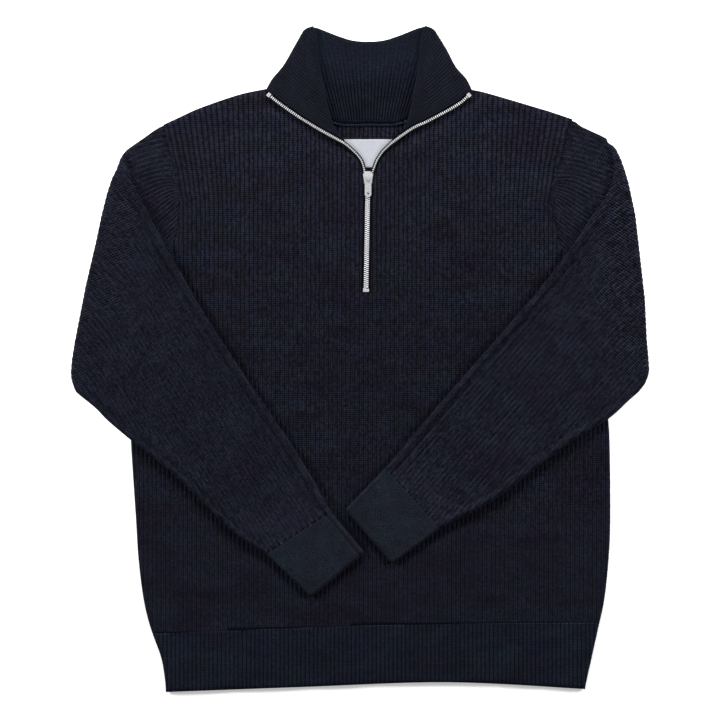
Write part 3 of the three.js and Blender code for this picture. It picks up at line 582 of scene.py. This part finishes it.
back_neck = smooth(
    on_side("right", [SHOULDERS["right"][-1]] + BACK_NECK)
    + on_side("left", BACK_NECK[-2::-1] + [SHOULDERS["left"][-1]]), 40)
front_neck = [
    (neckline("right"), *NECK_EDGE),
    (slit("right"), *SLIT_EDGE),
    (np.array([slit("right")[-1], slit("left")[-1]]), *SLIT_EDGE),
    (slit("left")[::-1], *SLIT_EDGE),
    (neckline("left")[::-1], *NECK_EDGE),
]

# %% Front and back panels
BODY_RIB = 5.15


def pulled(plan):
    """Leans the ribs beside the armhole seams, and sags the courses towards the zip."""
    x, y = plan[..., 0], plan[..., 1]
    seam = np.interp(y, [566, 605, 639, 660, 700], [0, 7, 15, 20, 30])
    near = np.clip((np.abs(x) - 130) / 90, 0, 1) ** 1.5
    sag = 14 * np.exp(-(x / 55) ** 2) * np.clip(1 - np.abs(y - 600) / 110, 0, 1)
    return np.stack([x + np.sign(x) * seam * near, y - sag], axis=-1)


body_grid = rib_grid((0, 760), (0, -1), BODY_RIB, (-58, 58), np.arange(0, 720, 5.5))
body_grid["plan"] = pulled(body_grid["plan"])
front_edges = panel_edges(front_neck)
back_edges = panel_edges([(back_neck, *SEAM)])
OPENING = {
    "left": [(8, 611), (22.5, 633), (53.8, 651), (96, 678), (119, 696)],
    "right": [(9, 611), (22.5, 633), (51.5, 654), (93.6, 675), (120, 695)],
}
OPENING_FOLDS = [(8.0, 5.0, -2.2), (22.0, 9.0, 1.2)]
opening_folds = [
    (np.array(on_side(name, OPENING[name]), float), *fold)
    for name in SIDE for fold in OPENING_FOLDS]
POCKET = (0.0, 5.0, -1.6)
pockets = [(line, *POCKET) for name in SIDE for line in sleeve_rim[name]]
front = piece(
    "front_knit",
    wall(front_edges, body_grid, FRONT_LOW, FRONT_TOP, creases=opening_folds + pockets),
    rib_knit, ["front_panel"])
back_grid = rib_grid((0, 760), (0, -1), BODY_RIB, (-58, 58), np.arange(0, 720, 9))
back = piece(
    "back_knit",
    wall(back_edges, back_grid, 0, KNIT, relief=0.8, under=0.6, side="under", wave=0.0),
    rib_knit, ["back_panel"])

# %% [markdown]
# ## Hem band
# The band is a separate strip of finer rib that draws the hem in. It has the same two layers,
# and its lower edge is a rounded turn of the cloth.

# %% Hem band
def hem_edges():
    def half(name):
        line = side_line(name)
        keep = np.array([3 < y < hem_seam(x) - 3 for x, y in line])
        return line[keep]
    right, left = half("right"), half("left")
    top_r, top_l = side_at("right", -SEAM_GAP / 2), side_at("left", -SEAM_GAP / 2)
    low = smooth(HEM_EDGE, 24)
    return [
        (low, 2.6, 0),
        (np.vstack([low[-1:], right, [top_r]]), SOFT, 0),
        (np.array([top_r, (5, hem_seam(5) - SEAM_GAP / 2), top_l]), *SEAM),
        (np.vstack([[top_l], left[::-1], low[:1]]), SOFT, 0),
    ]


hem_grid = rib_grid((0, 90), (0, -1), 4.9, (-58, 58), np.arange(0, 100, 3.2))
hem_front = piece(
    "hem_front_knit",
    wall(hem_edges(), hem_grid, FRONT_LOW, FRONT_TOP, relief=0.8),
    hem_knit, ["hem_band_front"])
hem_back = piece(
    "hem_back_knit",
    wall(hem_edges(), hem_grid, 0, KNIT, relief=0.3, under=0.6, side="under", wave=0.0),
    hem_knit, ["hem_band_back"])
for band in (hem_front, hem_back):
    area_of(hem_edges())

# %% [markdown]
# ## Sleeves
# A flat sleeve is a tube with two layers. It is drawn unfolded, straight out from the armhole,
# with its ribs parallel to its upper edge, and then every point is carried over the fold: up
# round the fold's axis, and back over the front. The slanted rows of the grid follow the fold,
# so the bend is smooth without needing small faces everywhere.

# %% Carrying over the fold
TURN_SLIDE = 11.0
ELBOW = 8.5
BULGE_REACH = 40.0
BEND = math.pi * (FOLD_AXIS - TUBE / 2)


def fold_frame(name):
    """The fold's axis in plan, and its directions down the fold and in towards the body."""
    top, under = (np.array(p) for p in on_side(name, SLEEVES[name]["fold"]))
    down = (under - top) / np.linalg.norm(under - top)
    inward = np.array([down[1], -down[0]]) * SIDE[name]
    return top + inward * FOLD_AXIS, down, inward, float(np.linalg.norm(under - top))


def unfolded(name, points):
    """Plan points of the laid-over part, as they lie before the sleeve is folded."""
    axis, down, inward, length = fold_frame(name)
    away = np.asarray(points, float) - axis
    return axis + np.outer(away @ down, down) - np.outer(away @ inward + BEND, inward)


def folded(name, places):
    """Carries the points of an unfolded sleeve over the fold's axis."""
    axis, down, inward, length = fold_frame(name)
    away = places[:, :2] - axis
    past = -(away @ inward)
    turn = np.clip(past / BEND, 0, 1) * math.pi
    radius = FOLD_AXIS - places[:, 2]
    straight = np.where(past < 0, -past, np.maximum(past - BEND, 0))
    reach = straight - radius * np.sin(turn)
    near = np.clip((reach + FOLD_AXIS) / BULGE_REACH, 0, 1)
    bulge = np.interp(away @ down / length, *zip(*SLEEVES[name]["bulge"]))
    reach = reach - bulge * (1 - near * near * (3 - 2 * near))
    plan = axis + np.outer(away @ down, down) + np.outer(reach, inward)
    return np.column_stack([plan, FOLD_AXIS - radius * np.cos(turn)])


print("length of cloth round the bend, mm:", round(BEND, 1))


# %% Sleeve outlines and walls
UPPER_CREASES = [(5.0, 5.0, 3.2), (10.5, 2.2, -2.0), (15.5, 3.5, 1.5)]
UNDER_CREASES = {
    "left": [(3.5, 3.0, 2.2), (8.0, 2.0, -2.2), (12.5, 4.0, 1.5)],
    "right": [(5.0, 5.0, 2.8), (10.0, 2.2, -1.4)],
}


def sleeve_edges(name):
    """The unfolded sleeve: armhole, upper edge, cuff seam and under edge, and its creases."""
    data = SLEEVES[name]
    axis, down, inward, length = fold_frame(name)
    hole = armhole[name] - np.array([SIDE[name] * 0.7, 0])
    hole[-1] += (-1.0 * SIDE[name], 0.8)
    laid = {key: on_side(name, data[key]) for key in ("upper", "seam", "under")}
    start = axis + down * TURN_SLIDE
    finish = axis + down * (length + ELBOW)
    over = unfolded(name, smooth([start] + laid["upper"] + laid["seam"][:1], 40))
    below = unfolded(name, smooth(laid["seam"][1:] + laid["under"] + [finish], 40))
    top = np.vstack([hole[-1:], on_side(name, data["top"]), [axis], over])
    under = np.vstack([below, [axis + down * (length - TURN_SLIDE)], hole[:1]])
    seam = np.vstack([over[-1:], below[:1]])
    edges = [(hole, *DEEP_SEAM), (top, SOFT, 0), (seam, *SEAM), (under, SOFT, 0)]
    creases = [(over, *crease) for crease in UPPER_CREASES]
    creases += [(below, *crease) for crease in UNDER_CREASES[name]]
    return edges, creases


def sleeve_grid(name):
    axis, down, inward, length = fold_frame(name)
    slope = math.radians(SLEEVES[name]["ribs"])
    along = np.array([SIDE[name] * math.cos(slope), -math.sin(slope)])
    across = np.array([-along[1], along[0]])
    shear = float(down @ along) / float(down @ across)
    bend_rows = np.linspace(0, BEND, 11)
    rows = np.concatenate([np.arange(-270, -1, 5.5), bend_rows, np.arange(BEND + 4, 560, 5.5)])
    middle = axis + down * length / 2
    rows = rows / float(-inward @ along)
    grid = rib_grid(middle, along, SLEEVES[name]["pitch"], (-36, 36), rows, shear)
    x, y = grid["plan"][..., 0], grid["plan"][..., 1]
    hole = np.interp(y, armhole[name][:, 1], np.abs(armhole[name][:, 0]))
    from_seam = np.clip(1 - (np.abs(x) - hole) / 45, 0, 1.1)
    droop = np.interp(y, [450, 565, 605, 650], [-8, -8, 14, 7])
    grid["plan"] = np.stack([x, y - droop * from_seam ** 2], axis=-1)
    return grid


def sleeve_shape(name):
    edges, creases = sleeve_edges(name)
    grid = sleeve_grid(name)
    axis, down, inward, length = fold_frame(name)

    def laid(points):
        """0 round the bend and at the cuff's seam, and 1 on the part between them."""
        past_bend = (-(points - axis) @ inward - BEND) / 25
        return np.clip(np.minimum(past_bend, nearest_on(points, edges[2][0])[0] / 15), 0, 1)

    below = wall(edges, grid, 0, KNIT + GAP / 2, relief=0, under=0.65, side="under", wave=0.0,
                 creases=creases, calm=laid)
    pocket = [(sleeve_rim[name][0], *POCKET)]
    above = wall(edges, grid, KNIT + GAP / 2, TUBE, wave=0.0, creases=pocket)
    shape = together(below, above)
    shape["points"] = folded(name, shape["points"])
    return shape, area_of(edges)


for name in SIDE:
    shape, area = sleeve_shape(name)
    sleeve = piece(f"sleeve_{name}_knit", shape, sleeve_knit, [f"sleeve_{name}"])

# %% [markdown]
# ## Cuffs
# The cuffs are short tubes of a finer, smoother rib, sewn to the sleeves' ends.

# %% Cuffs
CUFF_CREASES = {"left": [(3.0, 2.2, 0.7), (7.0, 1.6, -1.0)], "right": [(2.5, 2.5, 0.6)]}


def turned(before, corner, after, size=4.0):
    """A corner rounded off with three points."""
    back, on = (size * (p - corner) / np.linalg.norm(p - corner) for p in (before, after))
    return np.array([corner + back, corner + 0.3 * (back + on), corner + on])


def cuff_edges(name):
    data = SLEEVES[name]
    seam = np.array(on_side(name, data["seam"]), float)
    end = np.array(on_side(name, data["end"]), float)
    onward = (end[0] - seam[0]) / np.linalg.norm(end[0] - seam[0])
    seam = seam + onward * SEAM_GAP
    low = turned(seam[1], end[1], end[0])
    high = turned(end[1], end[0], seam[0])
    edges = [
        (seam, *SEAM),
        (np.array([seam[1], low[0]]), SOFT, 0),
        (np.vstack([low, high]), 1.8, 0.2),
        (np.array([high[-1], seam[0]]), SOFT, 0),
    ]
    creases = [(edges[3][0], *crease) for crease in CUFF_CREASES[name]]
    return edges, creases, onward, seam.mean(axis=0)


for name in SIDE:
    edges, creases, onward, middle = cuff_edges(name)
    grid = rib_grid(middle, onward, 2.5, (-24, 24), np.arange(-12, 90, 2.4))
    split = OVER_FRONT + KNIT + GAP / 2
    top = OVER_FRONT + TUBE - RIB_RISE
    shape = together(
        wall(edges, grid, split, top, relief=0.3, wave=0.2, creases=creases),
        wall(edges, grid, OVER_FRONT, split, relief=0, under=0.3, side="under", wave=0.0))
    cuff = piece(f"cuff_{name}_knit", shape, cuff_knit, [f"cuff_{name}"])

# %% [markdown]
# ## Collar, back part
# The funnel collar stands up when worn. Laid open, its back part lies flat with its inner face
# up, and its ribs fan out a little towards the top edge.

# %% Collar back
COLLAR_TOP = [(0, 757.5), (19, 759.1), (37, 764.8), (56, 772.3), (66, 775.2)]
COLLAR_SIDE = [(71, 767), (83, 745), (90, 726), (83, 709)]
collar_low = back_neck + np.array([0, SEAM_GAP])
collar_high = smooth(on_side("right", COLLAR_TOP[::-1]) + on_side("left", COLLAR_TOP[1:]), 32)
collar_right = np.array(on_side("right", COLLAR_SIDE[::-1]), float)
collar_left = np.array(on_side("left", COLLAR_SIDE), float)
collar_edges = [
    (np.vstack([collar_high, collar_left]), SOFT, 0),
    (collar_low[::-1], 4.0, 0.45),
    (collar_right, SOFT, 0),
]
collar_grid = rib_grid((0, 780), (0, -1), 3.15, (-32, 32), np.arange(0, 130, 2.6))
FAN = {"more": 0.7, "from": 664, "over": 93}
above_seam = (collar_grid["plan"][..., 1] - FAN["from"]) / FAN["over"]
collar_grid["plan"][..., 0] *= 1 + FAN["more"] * above_seam


def collar_relief(points):
    """The ribs are tight above the neck seam and spread out flat towards the top edge."""
    return 1.3 * np.clip(1 - (points[:, 1] - 690) / 80, 0.3, 1)


collar = piece(
    "collar_back_knit",
    wall(collar_edges, collar_grid, 0, KNIT, relief=collar_relief, wave=0.0),
    collar_knit, ["collar_back"])

# %% [markdown]
# ## Collar, the two turned-out wings
# Each open end of the collar rolls outwards, so its inner face shows and the zip runs along its
# lower edge. The wing is a grid between the collar's top edge and the roll line. Its rows
# follow the ribs, which run beside the zip, and it sinks to the surface at the peak.

# %% Wing tables
WINGS = {
    "left": {
        "edge": [(119.5, 700), (112, 713), (98.8, 729), (87.8, 748.3), (78.6, 765),
                 (73.6, 771.8), (64.5, 775.2)],
        "roll": [(28.2, 641.3), (40, 658), (47, 682), (53, 710), (58, 738), (60, 762)],
    },
    "right": {
        "edge": [(121.5, 700), (115, 713), (102.8, 727), (92.8, 746), (81.5, 765),
                 (76, 772), (67, 775.7)],
        "roll": [(28.1, 642), (44, 658), (50, 681), (56, 711), (60, 738), (62, 762)],
    },
}
OPEN_ROWS = {
    "left": [(3, 597, 4.3), (4, 603, 4.3), (5.6, 611.5, 4.4), (8.8, 619, 4.6), (14.6, 626, 5.4),
             (22.5, 633.2, 6.5), (30, 638.6, 7.35), (53.8, 651.6, 7.4), (77, 665.6, 7.4),
             (96, 678.4, 7.4), (109, 688, 7.4), (116, 693.8, 7.4)],
    "right": [(3, 597, 4.3), (5, 603, 4.3), (8, 611.5, 4.4), (11.2, 619, 4.6), (16.2, 626.5, 5.4),
              (22.5, 633, 6.5), (30, 639.4, 7.35), (51.5, 654.5, 7.4), (70, 663.2, 7.4),
              (93.6, 675.8, 7.4), (108, 684.5, 7.4), (118, 693.5, 7.4)],
}
WING_RIB = 3.7


def zip_path(name, steps=160):
    """The open row's path from the slider to the collar's corner, at the tape's height."""
    rows = [(SIDE[name] * out, up, tape) for out, up, tape in OPEN_ROWS[name]]
    return smooth(rows, steps)


def normals(path):
    """Unit directions to the left of a path in plan."""
    step = np.gradient(path[:, :2], axis=0)
    left = np.column_stack([-step[:, 1], step[:, 0]])
    return left / np.linalg.norm(left, axis=1)[:, None]


def resampled(path, count):
    """The same path with evenly spaced points."""
    steps = np.linalg.norm(np.diff(path, axis=0), axis=1)
    run = np.concatenate([[0], np.cumsum(steps)])
    even = np.linspace(0, run[-1], count)
    return np.column_stack([np.interp(even, run, axis) for axis in path.T])


# %% Wing plan
WING_COLUMNS = 26
WING_EDGE, WING_CORNER = 3.0, 2.2
WING_SINK = {"most": 3.0, "from": 0.42, "over": 0.5}
ROLL = {"radius": 5.5, "top": 4.4, "low": 3.9}
PUFF = 1.6


def wing_plan(name):
    """The wing's plan points, ribs by columns, where they lie across the ribs and along them
    from 0 to 1, the number of ribs, the wing's width there and the distance from its corner."""
    side = SIDE[name]
    edge = smooth(on_side(name, WINGS[name]["edge"]), 80)
    roll = smooth(on_side(name, WINGS[name]["roll"]), 80)
    path = zip_path(name)
    beside = path[:, :2] + side * 3.0 * normals(path)
    keep = np.abs(beside[:, 0]) > abs(roll[0][0])
    zip_edge = resampled(
        np.vstack([edge[:1], beside[keep][::-1], roll[:1]]), WING_COLUMNS + 1)
    ribs = round(np.linalg.norm(np.diff(edge, axis=0), axis=1).sum() / WING_RIB)
    t = np.linspace(0, 1, ribs * SAMPLES + 1)[:, None]
    u = np.linspace(0, 1, WING_COLUMNS + 1)[None, :]
    start = resampled(edge, len(t))[:, None, :]
    end = resampled(roll, len(t))[:, None, :]
    plan = start + (end - start) * u[..., None]
    straight = edge[0] + (roll[0] - edge[0]) * u[0][:, None]
    plan = plan + (zip_edge - straight)[None] * ((1 - t) ** 2)[..., None]
    from_corner = np.linalg.norm(start - start[0], axis=2) + 0 * u
    return plan, t, u, ribs, np.linalg.norm(end - start, axis=2), from_corner


# %% Wing walls
def wing(name):
    """The wing's shape: soft at its edge and corner, and turned in along the roll line."""
    plan, t, u, ribs, wide, from_corner = wing_plan(name)
    to_edge, to_roll = u * wide, (1 - u) * wide
    down = np.clip((t - WING_SINK["from"]) / WING_SINK["over"], 0, 1)
    sink = WING_SINK["most"] * down ** 2 * (3 - 2 * down)
    low = OVER_FRONT + GAP - sink + 0 * u
    full = np.minimum(rounded(to_edge, WING_EDGE), rounded(from_corner, WING_CORNER))
    rise = RIB_RISE + 0.8 * (ridge(t * ribs) - 1) + 0 * u
    crown = PUFF * np.sin(np.pi * u) * (1 - t)
    top = low + (KNIT + rise) * full + crown * full
    top = top - (1 - rounded(to_roll, ROLL["radius"])) * (top - ROLL["top"])
    near_roll = np.clip(to_roll / ROLL["radius"], 0, 1)
    turned_in = np.minimum(low, ROLL["low"] + (low - ROLL["low"]) * near_roll)
    low = np.where(to_roll < ROLL["radius"], turned_in, low) + 0.5 * crown * full
    flat = plan.reshape(-1, 2)
    quads = grid_quads(t.size, u.size)
    points = np.vstack([np.column_stack([flat, z.ravel()]) for z in (top, low)])
    uv = np.column_stack([(t * ribs + 0 * u).ravel(), (to_edge / COURSE).ravel()])
    faces = skin(quads, flat, sample=len(quads) // 2)
    return {"points": points, "faces": faces, "uv": np.vstack([uv, uv])}


for name in SIDE:
    wing_piece = piece(
        f"collar_wing_{name}_knit", wing(name), wing_knit, [f"collar_wing_{name}"])

# %% [markdown]
# ## Neck seam and label
# The collar is linked to the body by a seam that shows as a round ridge inside the back neck.
# A white woven label is sewn below it. It is left bare.

# %% Ribbons and cords along a path
def swept(path, section):
    """A bar along a path: the section's rows are (beside, above) offsets at every point."""
    side = normals(path)
    section = np.asarray(section, float)
    points = np.stack([
        np.column_stack([path[:, :2] + beside * side, path[:, 2] + above])
        for beside, above in section], axis=1)
    rows, count = points.shape[:2]
    index = np.arange(rows * count).reshape(rows, count)
    after = np.roll(index, -1, axis=1)
    quads = np.stack([index[:-1], index[1:], after[1:], after[:-1]], axis=-1).reshape(-1, 4)
    steps = np.linalg.norm(np.diff(path, axis=0), axis=1)
    run = np.concatenate([[0], np.cumsum(steps)]) / COURSE
    uv = np.stack([np.broadcast_to(section[:, 0] / 5 + 0.5, (rows, count)),
                   np.broadcast_to(run[:, None], (rows, count))], axis=-1).reshape(-1, 2)
    faces = [*quads, index[0], index[-1][::-1]]
    return {"points": points.reshape(-1, 3), "faces": faces, "uv": uv}


def swept_piece(name, shape, material, nodes):
    """A piece whose faces are turned to point outwards, whichever way the path runs."""
    obj = piece(name, shape, material, nodes)
    fix = bmesh.new()
    fix.from_mesh(obj.data)
    bmesh.ops.recalc_face_normals(fix, faces=fix.faces)
    fix.to_mesh(obj.data)
    fix.free()
    return obj


def oval(wide, low, high, count=10):
    """A rounded section of that width between two heights."""
    turn = np.linspace(0, 2 * np.pi, count, endpoint=False)
    above = (low + high) / 2 + (high - low) / 2 * np.sin(turn)
    return np.column_stack([wide / 2 * np.cos(turn), above])


ridge_path = back_neck[np.abs(back_neck[:, 0]) < 43] - np.array([0, 2.2])
ridge_path = np.column_stack([ridge_path, np.full(len(ridge_path), FRONT_LOW)])
ridge_path = resampled(ridge_path, 60)
swept_piece(
    "neck_seam_knit", swept(ridge_path, oval(2.4, -0.2, 1.7)), hem_knit, ["neck_seam_ridge"])

# %% Label
label_material, tree, shader = new_material("label")
weave = tree.node("TexCoord", output=3)
threads = weave.node(
    "TexWave", {"wave_type": "BANDS"}, {"Vector": weave, "Scale": 900.0, "Distortion": 0.4})
soft = weave.node("TexNoise", values={"Vector": weave, "Scale": 320.0, "Detail": 3.0})
bump = weave.node("Bump", values={"Strength": 0.3, "Distance": 0.0002, "Height": threads})
feed(shader, "Normal", bump)
feed(shader, "Base Color", weave.node(
    "Mix", {"data_type": "RGBA"},
    {"Factor": soft * 0.5 + 0.3, "A": (0.245, 0.257, 0.292, 1), "B": (0.385, 0.397, 0.43, 1)}, 2))
feed(shader, "Roughness", 0.75)
feed(shader, "Specular IOR Level", 0.2)
LABEL = {"up": 642.5, "half": 28.0, "low": 606.5, "beside": 3.5}


def label_shape():
    """The label between the front's edges: rows down from its upper edge."""
    rows = np.linspace(LABEL["up"], LABEL["low"] + 3, 24)
    columns = np.linspace(0, 1, 17)

    def front_edge(name):
        line = neckline(name)[::-1]
        return np.interp(rows, line[:, 1], line[:, 0])

    left = np.maximum(front_edge("left") + LABEL["beside"], -LABEL["half"])
    right = np.minimum(front_edge("right") - LABEL["beside"], LABEL["half"])
    x = left[:, None] + (right - left)[:, None] * columns[None]
    y = rows[:, None] + 0 * x
    z = FRONT_LOW + 0.5 + 0.25 * np.sin(x / 9) + 0.2 * np.cos(y / 7)
    points = np.column_stack([x.ravel(), y.ravel(), z.ravel()])
    uv = np.column_stack([x.ravel(), y.ravel()])
    return {"points": points, "faces": grid_quads(*x.shape), "uv": uv}


label = piece("neck_label_cloth", label_shape(), label_material, ["neck_label"])
thick = label.modifiers.new("thickness", "SOLIDIFY")
thick.thickness = 0.0006

# %% [markdown]
# ## Zip
# A metal zip has one tooth every 2.4 mm on each tape. Below the slider the two rows mesh into
# one chain. Above it each row runs along its wing's edge to a stop at the corner. Each tooth is
# a small block with rounded corners, copied along the path with its own direction.

# %% Metal and tape
def metal_material(name, colour, rough, metallic):
    material, tree, shader = new_material(name)
    place = tree.node("TexCoord", output=3)
    worn = place.node("TexNoise", values={"Vector": place, "Scale": 700.0, "Detail": 3.0})
    feed(shader, "Base Color", colour)
    feed(shader, "Metallic", metallic)
    feed(shader, "Roughness", worn * 0.2 + (rough - 0.1))
    bump = place.node("Bump", values={"Strength": 0.15, "Distance": 0.0001, "Height": worn})
    feed(shader, "Normal", bump)
    return material


teeth_metal = metal_material("zip_metal", (0.93, 0.93, 0.95, 1), 0.4, 0.5)
slider_metal = metal_material("slider_metal", (0.80, 0.80, 0.82, 1), 0.3, 0.7)
tape_cloth = knit_material(
    "zip_tape", (0.006, 0.0065, 0.011), groove=0.2, split=0.2, relief=0.0002)
TOOTH = {"pitch": 2.4, "long": 1.0, "open_long": 0.85, "high": 1.9, "bevel": 0.14}


def tooth_block(reach, long, high):
    """A small block with rounded upper edges: its points about its own middle, and its faces."""
    block = bmesh.new()
    bmesh.ops.create_cube(block, size=1)
    bmesh.ops.scale(block, vec=(reach, long, high), verts=block.verts)
    bmesh.ops.bevel(block, geom=block.edges, offset=TOOTH["bevel"], segments=2,
                    affect="EDGES", profile=0.5)
    points = np.array([v.co[:] for v in block.verts])
    faces = [[v.index for v in f.verts] for f in block.faces]
    block.free()
    return points, faces


def teeth(name, places, directions, nodes, reach, long):
    """One object of teeth: each at its place, with its own reach across its direction."""
    block, block_faces = tooth_block(1.0, long, TOOTH["high"])
    points, faces = [], []
    for k, (place, (dx, dy), wide) in enumerate(zip(places, directions, reach)):
        turned = np.column_stack([
            wide * block[:, 0] * dy + block[:, 1] * dx,
            -wide * block[:, 0] * dx + block[:, 1] * dy,
            block[:, 2]])
        points.append(turned + place)
        faces += [[i + k * len(block) for i in f] for f in block_faces]
    declare(mesh_object(name, np.vstack(points), faces, teeth_metal), nodes)
    print(name, "teeth:", len(places))


# %% Open rows
TAPE = {"wide": 4.8, "thick": 0.7}
for name in SIDE:
    path = zip_path(name)
    row = path[(path[:, 1] > 604) & (path[:, 1] < 691.6)]
    count = round(np.linalg.norm(np.diff(row, axis=0), axis=1).sum() / TOOTH["pitch"])
    row = resampled(row, count + 1)
    heading = np.column_stack([normals(row)[:, 1], -normals(row)[:, 0]])
    lift = TAPE["thick"] + GAP + TOOTH["high"] / 2
    reach = np.interp(row[:, 1], [606, 632, 645], [1.7, 2.0, 2.9])
    teeth(f"zip_teeth_{name}", row + np.array([0, 0, lift]), heading, [f"zip_row_{name}"], reach,
          TOOTH["open_long"])
    low = np.array([SIDE[name] * 2.6 + lean(464.5), 464.5, 4.3])
    tape_path = resampled(np.vstack([np.linspace(low, path[0], 20)[:-1], path]), 120)
    tape = swept_piece(
        f"zip_tape_{name}_cloth", swept(tape_path, oval(TAPE["wide"], 0, TAPE["thick"], 8)),
        tape_cloth, [f"zip_tape_{name}"])

# %% Closed chain
CHAIN = {"low": 467.5, "top": 592.0, "half": 1.3, "height": 6.25, "reach": 2.7}
chain = []
for k in range(int((CHAIN["top"] - CHAIN["low"]) / TOOTH["pitch"])):
    up = CHAIN["low"] + TOOTH["pitch"] * (k + 0.25)
    chain.append((lean(up) - CHAIN["half"], up, CHAIN["height"]))
    chain.append((lean(up) + CHAIN["half"], up + TOOTH["pitch"] / 2, CHAIN["height"]))
count = len(chain)
teeth("zip_teeth_closed", np.array(chain), [(0.0, 1.0)] * count, ["zip_chain"],
      [CHAIN["reach"]] * count, TOOTH["long"])

# %% [markdown]
# ## Slider, tab and stops
# These are metal parts with a true shape in the CAD model, so they stay, and get rounded edges
# and a metal finish.

# %% Metal parts from the frame
METAL_PARTS = ["zip_slider", "zip_pull_tab", "zip_stop_top_left", "zip_stop_top_right",
               "zip_stop_bottom"]
for node in METAL_PARTS:
    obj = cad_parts[node]
    for k in range(len(obj.material_slots)):
        obj.material_slots[k].material = slider_metal
    bevel = obj.modifiers.new("soft edges", "BEVEL")
    bevel.width = 0.00025
    bevel.segments = 2
    bevel.limit_method = "ANGLE"
    bevel.angle_limit = math.radians(40)
    bevel.harden_normals = True
print("metal parts kept:", len(METAL_PARTS))

# %% [markdown]
# ## Floor, light and camera
# The picture looks straight down on a white surface in soft, even light. Three soft lights, from
# the left, the right and beyond the collar, come in low enough to give the ribs their shape, and
# a pale world fills the grooves.

# %% Floor
FLOOR_HALF = 4.0
corners = [(x * FLOOR_HALF, y * FLOOR_HALF, 0) for x, y in ((-1, -1), (1, -1), (1, 1), (-1, 1))]
floor_mesh = bpy.data.meshes.new("floor")
floor_mesh.from_pydata(corners, [], [(0, 1, 2, 3)])
floor = bpy.data.objects.new("floor", floor_mesh)
bpy.context.scene.collection.objects.link(floor)
floor.location.z = -0.0005
floor_material, tree, shader = new_material("floor_white")
feed(shader, "Base Color", (0.95, 0.95, 0.95, 1))
feed(shader, "Roughness", 0.9)
feed(shader, "Specular IOR Level", 0.0)
feed(shader, "Emission Color", (1, 1, 1, 1))
feed(shader, "Emission Strength", 0.35)
floor_mesh.materials.append(floor_material)

# %% Light
world = bpy.data.worlds.new("studio")
bpy.context.scene.world = world
world.use_nodes = True
world.node_tree.nodes["Background"].inputs["Color"].default_value = (1, 1, 1, 1)
world.node_tree.nodes["Background"].inputs["Strength"].default_value = 0.2


def soft_light(name, place, power):
    """A round area light that looks at the sweater's middle."""
    data = bpy.data.lights.new(name, "AREA")
    data.shape = "DISK"
    data.size = 0.7
    data.energy = power
    light = bpy.data.objects.new(name, data)
    light.location = place
    light.rotation_mode = "QUATERNION"
    light.rotation_quaternion = Vector(-np.array(place)).to_track_quat("-Z", "Y")
    bpy.context.scene.collection.objects.link(light)


soft_light("left", (-1.9, 0.8, 1.1), 62)
soft_light("right", (1.9, 0.8, 1.1), 52)
soft_light("top", (0.0, 1.9, 1.2), 45)

# %% Camera
view = bpy.data.cameras.new("camera")
camera = bpy.data.objects.new("camera", view)
bpy.context.scene.collection.objects.link(camera)
bpy.context.scene.camera = camera
view.sensor_width = 36
view.lens = 110
SPAN = 0.8424
distance = SPAN * view.lens / view.sensor_width
camera.location = (-0.0001, -0.0007, distance + 0.008)
camera.rotation_euler = (0, 0, 0)
bpy.context.scene.view_settings.view_transform = "Standard"
print("camera height in m:", round(distance, 3))
